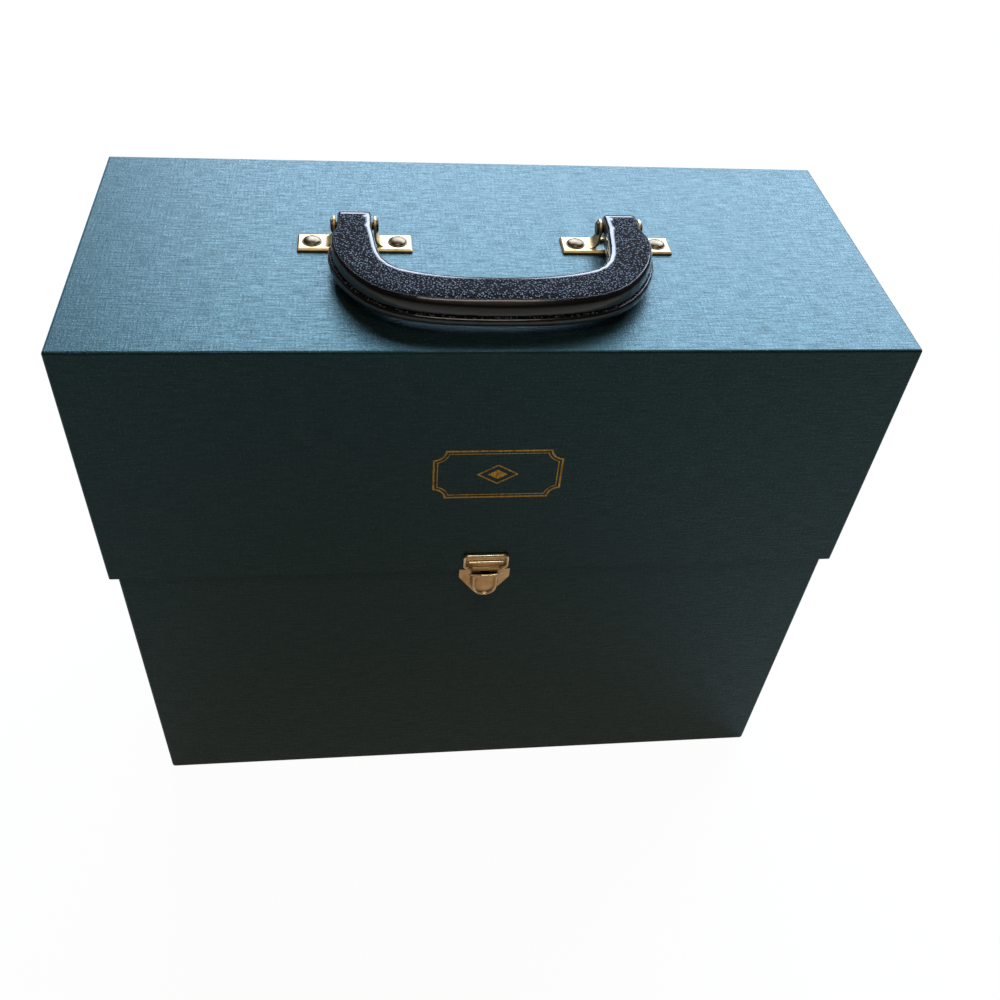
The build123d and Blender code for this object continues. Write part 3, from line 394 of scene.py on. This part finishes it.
finishes = {
    "bookcloth": bookcloth(),
    "handle_moulding": moulded_plastic(),
    "bracket_brass": brass("bracket_brass", "#DFC594", "#BC9E6C", 0.46, 0.5),
    "rivet_brass": brass("rivet_brass", "#7A6C58", "#574A3C", 0.34, 0.7),
    "latch_brass": brass("latch_brass", "#FBE0AC", "#D9B67C", 0.32, 0.95),
    "greyboard": fibrous("greyboard", 0.6, 3.0, 0.5, "#8B867A", "#A39D90", 0.9, 0.08),
    "lining_paper": fibrous("lining_paper_cream", 1.2, 4.0, 0.6, "#D3CBB6", "#DED7C5", 0.8, 0.03),
    "spring_steel": spring_steel(),
    "gold_foil": gold_foil(),
    # Near-white brass for the latch's beads: a painted highlight on their rolls.
    "bead_brass_painted_highlight": brass("bead_brass_painted_highlight", "#FFF2D2", "#F6E0B4", 0.17, 0.2),
}


# Making pieces
def paint(mesh, finish):
    mesh.materials.clear()
    mesh.materials.append(finishes[finish])


def new_object(name, data):
    """An object in the scene."""
    item = bpy.data.objects.new(name, data)
    bpy.context.scene.collection.objects.link(item)
    return item


def new_piece(name, mesh, finish):
    paint(mesh, finish)
    return new_object(name, mesh)


def skin_rings(build, rings, closed):
    """Faces from each ring of vertices to the next; a run that isn't closed gets its two ends."""
    for first, second in zip(rings, rings[1:] + rings[:1] if closed else rings[1:]):
        for k in range(len(first)):
            m = (k + 1) % len(first)
            build.faces.new((first[k], first[m], second[m], second[k]))
    if not closed:
        build.faces.new(rings[0])
        build.faces.new(rings[-1])


def mesh_of(name, mesh_build, smooth_angle=0.6):
    """A mesh from a bmesh, with outward normals and smooth shading under an angle."""
    bmesh.ops.remove_doubles(mesh_build, verts=mesh_build.verts, dist=1e-6)
    bmesh.ops.recalc_face_normals(mesh_build, faces=mesh_build.faces)
    mesh = bpy.data.meshes.new(name)
    mesh_build.to_mesh(mesh)
    mesh_build.free()
    mesh.shade_smooth()
    mesh.set_sharp_from_angle(angle=smooth_angle)
    return mesh


def bake(piece):
    """Applies a piece's modifiers."""
    evaluated = piece.evaluated_get(bpy.context.evaluated_depsgraph_get())
    result = bpy.data.meshes.new_from_object(evaluated)
    piece.modifiers.clear()
    piece.data = result


def softened(node, voxel_mm, rounds):
    """A copy of a CAD node with its edges softened, as a moulding's or a stamping's are."""
    build = bmesh.new()
    build.from_mesh(frame["nodes"][node].data)
    piece = new_piece("soft_" + node, mesh_of("soft_" + node, build), slot_of[node])
    remesh = piece.modifiers.new("close skin", "REMESH")
    remesh.mode = "VOXEL"
    remesh.voxel_size = voxel_mm * MM
    remesh.use_smooth_shade = True
    smooth = piece.modifiers.new("soften edges", "SMOOTH")
    smooth.factor = 0.5
    smooth.iterations = rounds
    bake(piece)
    paint(piece.data, slot_of[node])
    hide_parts(node)
    return piece


slot_of = {s["node"]: s["material_slot"] for s in frame["record"]["subparts"]}
for name, node_object in frame["nodes"].items():
    paint(node_object.data, slot_of[name])

# Handle: both shells with softly rounded edges
HANDLE_VOXEL_MM = 0.5
HANDLE_ROUNDS = 8
INNER_RIM_W = 2.2 * MM
GRIP_RIM_MORE = 1.5 * MM  # the band is wider along the grip than on the arms
RIM_FADE = 0.5 * MM
ARM_ENDS_Y = -0.02
END_FACING = 0.6  # an arm's end looks further back than this
WALL_FACING = 0.3  # and an upright wall less far up or down than this
INWARD = -1e-4  # place times facing is below this on a wall that looks towards the opening


def mark_inner_rim(piece):
    """Marks the smooth band that runs round the handle's opening, for the plastic's grain."""
    inner = []
    along_grip = []
    for vertex in piece.data.vertices:
        place = vertex.co
        facing = vertex.normal
        end_face = facing.y > END_FACING and place.y > ARM_ENDS_Y
        towards_opening = place.x * facing.x + place.y * facing.y < INWARD
        if abs(facing.z) < WALL_FACING and towards_opening and not end_face:
            inner.append(Vector((place.x, place.y, 0)))
            along_grip.append(max(0.0, facing.y))
    tree = KDTree(len(inner))
    for i, place in enumerate(inner):
        tree.insert(place, i)
    tree.balance()
    shares = []
    for vertex in piece.data.vertices:
        index, reach = tree.find(Vector((vertex.co.x, vertex.co.y, 0)))[1:]
        width = INNER_RIM_W + GRIP_RIM_MORE * along_grip[index]
        shares.append(min(1.0, max(0.0, (width - reach) / RIM_FADE)))
    rim = piece.data.attributes.new("smooth_rim", "FLOAT", "POINT")
    rim.data.foreach_set("value", shares)


soft_upper = softened("handle_upper", HANDLE_VOXEL_MM, HANDLE_ROUNDS)
mark_inner_rim(soft_upper)
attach(soft_upper, "handle")
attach(softened("handle_lower", HANDLE_VOXEL_MM, HANDLE_ROUNDS), "handle")

# Latch: stamped sheet brass with rolled beads
LATCH_VOXEL_MM = 0.15
LATCH_ROUNDS = 3
for node, body in (("latch_frame", "lid"), ("latch_shield", "base"), ("thumb_slide", "thumb")):
    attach(softened(node, LATCH_VOXEL_MM, LATCH_ROUNDS), body)

BEAD_SIDES = 12
BEAD_R = 0.42 * MM
BEAD_PROUD = 0.25 * MM
CORNER_STEPS = 6
ROUND_ANGLE = 0.9  # edges flatter than this are shaded smooth
frame_low, frame_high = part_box("latch_frame")
thumb_low, thumb_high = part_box("thumb_slide")


def bead(name, path, radius, closed, body):
    """A rolled round bead along a path of points, in brass painted lighter than the latch's own: a
    painted highlight.
    """
    build = bmesh.new()
    count = len(path)
    rings = []
    for i, place in enumerate(path):
        before = path[(i - 1) % count] if closed or i else place
        after = path[(i + 1) % count] if closed or i < count - 1 else place
        along = (after - before).normalized()
        side = along.cross(Vector((0, 1, 0))).normalized()
        front = side.cross(along)
        ring = []
        for k in range(BEAD_SIDES):
            turn = math.tau * k / BEAD_SIDES
            spoke = side * math.cos(turn) + front * math.sin(turn)
            ring.append(build.verts.new(place + spoke * radius))
        rings.append(ring)
    skin_rings(build, rings, closed)
    piece = new_piece(name, mesh_of(name, build, ROUND_ANGLE), "bead_brass_painted_highlight")
    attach(piece, body)


def rounded(corners):
    """Points (x, z) round a closed outline of corners given as (x, z, radius)."""
    points = []
    count = len(corners)
    for i, (x, z, radius) in enumerate(corners):
        here = Vector((x, z))
        back = (Vector(corners[i - 1][:2]) - here).normalized()
        ahead = (Vector(corners[(i + 1) % count][:2]) - here).normalized()
        half = back.angle(ahead) / 2
        start = here + back * radius / math.tan(half)
        end = here + ahead * radius / math.tan(half)
        middle = here + (back + ahead).normalized() * radius / math.sin(half)
        first = math.atan2(start.y - middle.y, start.x - middle.x)
        last = math.atan2(end.y - middle.y, end.x - middle.x)
        sweep = math.remainder(last - first, math.tau)
        for k in range(CORNER_STEPS + 1):
            turn = first + sweep * k / CORNER_STEPS
            points.append((middle.x + radius * math.cos(turn), middle.y + radius * math.sin(turn)))
    return points


# Bead round the latch frame
FRAME_BEAD_R = 0.6 * MM
TOP_BEAD_IN = 0.35 * MM
TOP_ROUND = 1.7 * MM
SIDE_ROUND = 0.8 * MM
SIDE_RISE = 2.4 * MM
FOOT_ROUND = 1.2 * MM
FOOT_HALF = 6.4 * MM
LEAN_FROM = 2.0 * MM  # below the frame's top, where the bead starts to lean back
LEAN_OVER = 1.6 * MM
LEAN = 0.4 * MM
frame_y = frame_low.y + FRAME_BEAD_R - BEAD_PROUD
frame_half = frame_high.x - FRAME_BEAD_R
frame_corners = [
    (-frame_half, frame_high.z - TOP_BEAD_IN, TOP_ROUND),
    (frame_half, frame_high.z - TOP_BEAD_IN, TOP_ROUND),
    (frame_half, frame_low.z + SIDE_RISE, SIDE_ROUND),
    (FOOT_HALF, frame_low.z + BEAD_R, FOOT_ROUND),
    (-FOOT_HALF, frame_low.z + BEAD_R, FOOT_ROUND),
    (-frame_half, frame_low.z + SIDE_RISE, SIDE_ROUND),
]
frame_path = []
for x, z in rounded(frame_corners):
    rise = min(1.0, max(0.0, (z - frame_high.z + LEAN_FROM) / LEAN_OVER))
    frame_path.append(Vector((x, frame_y + LEAN * rise, z)))
bead("frame_bead", frame_path, FRAME_BEAD_R, True, "lid")

# Bar across the frame
BAR_R = 0.65 * MM
BAR_HALF = 7.6 * MM
BAR_DROP = 4.4 * MM
BAR_BACK = 0.2 * MM
bar_y = frame_y + BAR_BACK
bar_z = frame_high.z - BAR_DROP
bar_path = [Vector((share * BAR_HALF, bar_y, bar_z)) for share in (-1, -0.5, 0, 0.5, 1)]
bead("frame_bar", bar_path, BAR_R, False, "lid")

# Rolled edge of the slide's lip: its middle hangs lower than its ends
LIP_HALF = 7.4 * MM
LIP_SAG = 0.9 * MM
LIP_R = 0.5 * MM
LIP_DROP = 0.3 * MM
LIP_BACK = 0.02 * MM
LIP_STEPS = 16
lip_y = thumb_low.y + LIP_R + LIP_BACK
lip_path = []
for i in range(LIP_STEPS + 1):
    share = 2 * i / LIP_STEPS - 1
    lip_z = thumb_high.z - LIP_DROP - LIP_SAG * (1 - share**2)
    lip_path.append(Vector((share * LIP_HALF, lip_y, lip_z)))
bead("lip_bead", lip_path, LIP_R, False, "thumb")

# Bead round the thumb pad
PAD_HALF = 5.25 * MM
PAD_FRONT = 3.5 * MM
PAD_RISE = 5.9 * MM  # of the round end's middle above the slide's foot
PAD_BELOW_LID = 1.0 * MM
PAD_STEPS = 24
pad_y = LID_FRONT - PAD_FRONT + BEAD_R - BEAD_PROUD
pad_top = LID_EDGE - PAD_BELOW_LID
pad_middle = thumb_low.z + PAD_RISE
pad_path = [Vector((-PAD_HALF, pad_y, pad_top))]
for i in range(PAD_STEPS + 1):
    turn = math.pi * i / PAD_STEPS
    pad_z = pad_middle - PAD_HALF * math.sin(turn)
    pad_path.append(Vector((-PAD_HALF * math.cos(turn), pad_y, pad_z)))
pad_path.append(Vector((PAD_HALF, pad_y, pad_top)))
bead("pad_bead", pad_path, BEAD_R, False, "thumb")

# Brackets: bevelled brass plates
BRACKET_VOXEL_MM = 0.2
BRACKET_ROUNDS = 2
for bracket in ("left_handle_bracket", "right_handle_bracket"):
    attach(softened(bracket, BRACKET_VOXEL_MM, BRACKET_ROUNDS), "lid")


def strip_piece(name, profile, half_width, finish):
    """A band with a closed profile of (y, z) points, standing across the case."""
    build = bmesh.new()
    ends = []
    for x in (-half_width, half_width):
        ends.append([build.verts.new((x, y, z)) for y, z in profile])
    skin_rings(build, ends, False)
    return new_piece(name, mesh_of(name, build, ROUND_ANGLE), finish)


def between(start, end, steps):
    """Points from start towards end, without the end."""
    return [tuple(a + (b - a) * i / steps for a, b in zip(start, end)) for i in range(steps)]


# Outer hinge cloth: a folded band, level with the covers beside it
CLOTH_T = 0.3 * MM
FOLD_R = 1.2 * MM
BEND_STEPS = 10
cloth_low, cloth_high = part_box("hinge_cloth")


def fold_profile(radius, offset):
    """One side of the folded band's profile, from its foot on the back to its edge on the top."""
    y_mid = cloth_high.y - FOLD_R
    z_mid = cloth_high.z - FOLD_R
    bend = []
    for i in range(BEND_STEPS + 1):
        turn = math.pi / 2 * i / BEND_STEPS
        bend.append((y_mid + radius * math.cos(turn), z_mid + radius * math.sin(turn)))
    return [(cloth_high.y - offset, cloth_low.z), *bend, (cloth_low.y, cloth_high.z - offset)]


fold = fold_profile(FOLD_R, 0) + fold_profile(FOLD_R - CLOTH_T, CLOTH_T)[::-1]
hinge_cloth = strip_piece("folded_hinge_cloth", fold, cloth_high.x, "bookcloth")
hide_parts("hinge_cloth")
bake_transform(hinge_cloth)

# Inner hinge strip: creased paper-backed cloth in the corner under the lid's top
PAPER_T = 0.2 * MM
CREASE = 4.0 * MM
strip_low, strip_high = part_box("hinge_strip")


def crease_profile(y, z):
    """One side of the creased strip's profile, through the corner at (y, z)."""
    return [
        (y, strip_low.z),
        *between((y, z - CREASE), (y, z), BEND_STEPS),
        *between((y, z), (y - CREASE, z), BEND_STEPS),
        (strip_low.y, z),
    ]


crease_outer = crease_profile(strip_high.y, strip_high.z)
crease_inner = crease_profile(strip_high.y - PAPER_T, strip_high.z - PAPER_T)
crease = crease_outer + crease_inner[::-1]
hinge_strip = strip_piece("creased_hinge_strip", crease, strip_high.x, "lining_paper")
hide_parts("hinge_strip")
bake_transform(hinge_strip)

# Slide spring: a coil of drawn wire between the latch plate's seat and the slide's foot
SPRING_TURNS = 5
TURN_STEPS = 24
WIRE_SIDES = 8
WIRE_R = 0.14 * MM
spring_low, spring_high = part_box("slide_spring")


def coil_spring():
    middle = (spring_low + spring_high) / 2
    coil_r = (spring_high.x - spring_low.x) / 2 - WIRE_R
    rise = spring_high.z - spring_low.z - 2 * WIRE_R
    build = bmesh.new()
    rings = []
    for i in range(SPRING_TURNS * TURN_STEPS + 1):
        turn = math.tau * i / TURN_STEPS
        outward = Vector((math.cos(turn), math.sin(turn), 0))
        height = spring_low.z + WIRE_R + rise * i / (SPRING_TURNS * TURN_STEPS)
        centre = Vector((middle.x, middle.y, height))
        ring = []
        for k in range(WIRE_SIDES):
            around = math.tau * k / WIRE_SIDES
            place = centre + outward * (coil_r + WIRE_R * math.cos(around))
            ring.append(build.verts.new(place + Vector((0, 0, WIRE_R * math.sin(around)))))
        rings.append(ring)
    skin_rings(build, rings, False)
    piece = new_piece("coil_spring", mesh_of("coil_spring", build), "spring_steel")
    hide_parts("slide_spring")
    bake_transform(piece)


coil_spring()

# Domed rivets, made by Geometry Nodes and set through the brackets
RIVET_SPAN = 35.0 * MM
BRACKET_SPAN = 110.0 * MM
RIVET_BASE = LID_TOP + 1.5 * MM  # top of the bracket's plate
RIVET_SIZES = {
    "Head Radius": 4.1 * MM,
    "Dome Height": 1.7 * MM,
    "Rim Thickness": 0.35 * MM,
    "Shank Radius": 1.55 * MM,
    "Shank Length": RIVET_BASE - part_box("handle_rivet_washers")[0].z,
    "Tail Radius": 2.6 * MM,
}
DOME_SIDES = 48
DOME_RINGS = 24
RIM_SIDES = 12
SHANK_SIDES = 24


def rivet_tree():
    """Sets a domed, rimmed rivet on each point of a mesh. Heights are measured from the points."""
    tree = bpy.data.node_groups.new("domed_rivets", "GeometryNodeTree")
    face = tree.interface
    face.new_socket("Geometry", in_out="INPUT", socket_type="NodeSocketGeometry")
    for name in RIVET_SIZES:
        face.new_socket(name, in_out="INPUT", socket_type="NodeSocketFloat")
    face.new_socket("Finish", in_out="INPUT", socket_type="NodeSocketMaterial")
    face.new_socket("Geometry", in_out="OUTPUT", socket_type="NodeSocketGeometry")
    given = tree.nodes.new("NodeGroupInput").outputs
    rim_t = given["Rim Thickness"]
    shank_r = given["Shank Radius"]
    shank_l = given["Shank Length"]

    def made(kind, inputs):
        return add(tree, kind, inputs).outputs[0]

    def moved(geometry, height):
        shift = made("ShaderNodeCombineXYZ", {"Z": height})
        return made("GeometryNodeTransform", {"Geometry": geometry, "Translation": shift})

    ball_size = {"Segments": DOME_SIDES, "Rings": DOME_RINGS, "Radius": 1.0}
    ball = made("GeometryNodeMeshUVSphere", ball_size)
    crown = math_node(tree, "SUBTRACT", given["Head Radius"], rim_t)
    dome_size = made("ShaderNodeCombineXYZ", {"X": crown, "Y": crown, "Z": given["Dome Height"]})
    dome = made("GeometryNodeTransform", {"Geometry": ball, "Scale": dome_size})
    circle = "GeometryNodeCurvePrimitiveCircle"
    rim_ring = made(circle, {"Resolution": DOME_SIDES, "Radius": crown})
    rim_round = made(circle, {"Resolution": RIM_SIDES, "Radius": rim_t})
    rim = made("GeometryNodeCurveToMesh", {"Curve": rim_ring, "Profile Curve": rim_round})
    shank_size = {"Vertices": SHANK_SIDES, "Radius": shank_r, "Depth": shank_l}
    shank = made("GeometryNodeMeshCylinder", shank_size)
    half_down = product(tree, shank_l, -0.5)
    tail = made(
        "GeometryNodeMeshCone",
        {
            "Vertices": SHANK_SIDES,
            "Radius Top": given["Tail Radius"],
            "Radius Bottom": shank_r,
            "Depth": rim_t,
        },
    )
    tail_down = math_node(tree, "SUBTRACT", product(tree, shank_l, -1.0), rim_t)
    join = tree.nodes.new("GeometryNodeJoinGeometry")
    for piece in (dome, rim, moved(shank, half_down), moved(tail, tail_down)):
        tree.links.new(piece, join.inputs[0])
    instances = {"Points": given["Geometry"], "Instance": join.outputs[0]}
    placed = made("GeometryNodeInstanceOnPoints", instances)
    solid = made("GeometryNodeRealizeInstances", {"Geometry": placed})
    smooth = made("GeometryNodeSetShadeSmooth", {"Geometry": solid})
    painted = made("GeometryNodeSetMaterial", {"Geometry": smooth, "Material": given["Finish"]})
    tree.links.new(painted, tree.nodes.new("NodeGroupOutput").inputs[0])
    return tree


def handle_rivets():
    points = []
    for bracket_side in (-1, 1):
        for rivet_side in (-1, 1):
            x = bracket_side * BRACKET_SPAN / 2 + rivet_side * RIVET_SPAN / 2
            points.append((x, 0, RIVET_BASE))
    mesh = bpy.data.meshes.new("rivet_points")
    mesh.from_pydata(points, [], [])
    piece = new_piece("domed_handle_rivets", mesh, "rivet_brass")
    tree = rivet_tree()
    modifier = piece.modifiers.new("rivets", "NODES")
    modifier.node_group = tree
    values = {**RIVET_SIZES, "Finish": finishes["rivet_brass"]}
    for socket in tree.interface.items_tree:
        if socket.name in values:
            modifier[socket.identifier] = values[socket.name]
    bake(piece)
    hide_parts("handle_rivets")
    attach(piece, "lid")


handle_rivets()

# Foil frame on the lid's front: two plain lines with notched corners round a small lozenge
FOIL_W = 54 * MM
FOIL_H = 27 * MM
FOIL_NOTCH = 5.0 * MM
FOIL_DROP = 63 * MM  # middle of the frame below the lid's top
FOIL_X = 1.7 * MM
FOIL_Z = LID_TOP - FOIL_DROP
FOIL_T = 0.03 * MM
FOIL_LINES_MM = ((0, 0.8), (1.7, 2.1))  # how far in each line starts and ends
LOZENGES_MM = ((5.5, 0.7), (2.6, 2.4))  # half height and width of line
LOZENGE_STRETCH = 1.6
NOTCH_STEPS = 10
FLAT_ANGLE = 0.3


def notched_outline(inset):
    """Rectangle with hollow round corners, drawn in by an inset, as (x, z) from its middle."""
    notch = FOIL_NOTCH + inset
    start = math.asin(inset / notch)
    sweep = math.pi / 2 - 2 * start
    points = []
    for side_x, side_z in ((1, 1), (-1, 1), (-1, -1), (1, -1)):
        corner = []
        for i in range(NOTCH_STEPS + 1):
            turn = start + sweep * i / NOTCH_STEPS
            x = side_x * (FOIL_W / 2 - notch * math.sin(turn))
            z = side_z * (FOIL_H / 2 - notch * math.cos(turn))
            corner.append((x, z))
        points += corner if side_x * side_z > 0 else corner[::-1]
    return points


def foil_line(build, outer, inner):
    """A raised flat line between two outlines with the same number of points."""
    loops = []
    for outline, depth in ((outer, 0), (outer, FOIL_T), (inner, FOIL_T), (inner, 0)):
        y = LID_FRONT - depth
        loops.append([build.verts.new((FOIL_X + x, y, FOIL_Z + z)) for x, z in outline])
    skin_rings(build, loops, True)


def foil_frame():
    build = bmesh.new()
    for outer_mm, inner_mm in FOIL_LINES_MM:
        foil_line(build, notched_outline(outer_mm * MM), notched_outline(inner_mm * MM))
    for size_mm, width_mm in LOZENGES_MM:
        size = size_mm * MM
        reach = size * LOZENGE_STRETCH
        lozenge = [(reach, 0), (0, size), (-reach, 0), (0, -size)]
        share = 1 - width_mm * MM / size
        foil_line(build, lozenge, [(x * share, z * share) for x, z in lozenge])
    piece = new_piece("foil_frame", mesh_of("foil_frame", build, FLAT_ANGLE), "gold_foil")
    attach(piece, "lid")


foil_frame()

# Stage, lights and camera
FLOOR_HALF = 6.0
FLOOR_MIRRORED = 0.28  # how white the floor is in gloss
FLOOR_WHITE = 0.97  # share of the floor that stays white in the case's shadow
WORLD_LIGHT = 0.065
WORLD_MIRRORED = 0.06


def make_floor():
    """A plain white floor. Only the camera and reflections see it white, so the front stays dark."""
    mesh = bpy.data.meshes.new("floor")
    corners = [(x * FLOOR_HALF, y * FLOOR_HALF, 0) for x, y in ((-1, -1), (1, -1), (1, 1), (-1, 1))]
    mesh.from_pydata(corners, [], [(0, 1, 2, 3)])
    floor = new_object("floor", mesh)
    material, tree = new_material("floor_white")
    rays = add(tree, "ShaderNodeLightPath").outputs
    mirrored = product(tree, rays["Is Glossy Ray"], FLOOR_MIRRORED)
    seen = math_node(tree, "MAXIMUM", rays["Is Camera Ray"], mirrored)
    colour = blend_colour(tree, seen, "#484848", "#FFFFFF")
    lit = blend_colour(tree, rays["Is Camera Ray"], "#F2CDB0", "#FFFFFF")
    shaded = add(tree, "ShaderNodeBsdfDiffuse", {"Color": colour}).outputs[0]
    bright = add(tree, "ShaderNodeEmission", {"Color": lit, "Strength": 1.0}).outputs[0]
    share = product(tree, seen, FLOOR_WHITE)
    shader = add(tree, "ShaderNodeMixShader", {0: share, 1: shaded, 2: bright})
    close_material(tree, shader.outputs[0])
    mesh.materials.append(material)


def make_light(name, place, aim, width, height, power, colour):
    """A rectangular lamp that looks from its place to its aim."""
    data = bpy.data.lights.new(name, "AREA")
    data.shape = "RECTANGLE"
    data.size = width
    data.size_y = height
    data.energy = power
    data.color = linear(colour)[:3]
    lamp = new_object(name, data)
    lamp.location = place
    lamp.rotation_euler = (Vector(aim) - Vector(place)).to_track_quat("-Z", "Y").to_euler()


def make_world():
    """White for the camera, and a dim warm fill for everything else."""
    world = bpy.data.worlds.new("studio")
    world.use_nodes = True
    tree = world.node_tree
    tree.nodes.clear()
    rays = add(tree, "ShaderNodeLightPath").outputs
    lighting = span_map(tree, rays["Is Glossy Ray"], 0.0, 1.0, WORLD_LIGHT, WORLD_MIRRORED)
    strength = math_node(tree, "MAXIMUM", rays["Is Camera Ray"], lighting)
    colour = blend_colour(tree, rays["Is Camera Ray"], "#FFE8D0", "#FFFFFF")
    background = add(tree, "ShaderNodeBackground", {"Color": colour, "Strength": strength})
    add(tree, "ShaderNodeOutputWorld", {"Surface": background.outputs[0]})
    bpy.context.scene.world = world


def make_camera():
    """The photograph's view, fitted to the case's corners."""
    place = Vector((-0.0495, -0.3776, 0.515))
    forward = Vector((0.1219, 0.6977, -0.7059)).normalized()
    rough_up = Vector((0.0205, 0.7093, 0.7046))
    right = forward.cross(rough_up).normalized()
    up = right.cross(forward)
    data = bpy.data.cameras.new("photo_view")
    data.lens = 36.97
    data.sensor_width = 36.0
    data.clip_start = 0.01
    camera = new_object("photo_view", data)
    turn = Matrix((right, up, -forward)).transposed().to_4x4()
    camera.matrix_world = Matrix.Translation(place) @ turn
    bpy.context.scene.camera = camera


make_floor()
make_light("window_behind", (0.7, 1.9, 1.85), (0.0, 0.0, 0.25), 3.2, 2.0, 196, "#D6E6FF")
make_light("soft_overhead", (0.0, -0.55, 1.5), (0.0, -0.17, 0.15), 0.6, 0.3, 3.6, "#FFF2E2")
make_world()
make_camera()
bpy.context.scene.view_settings.view_transform = "Standard"
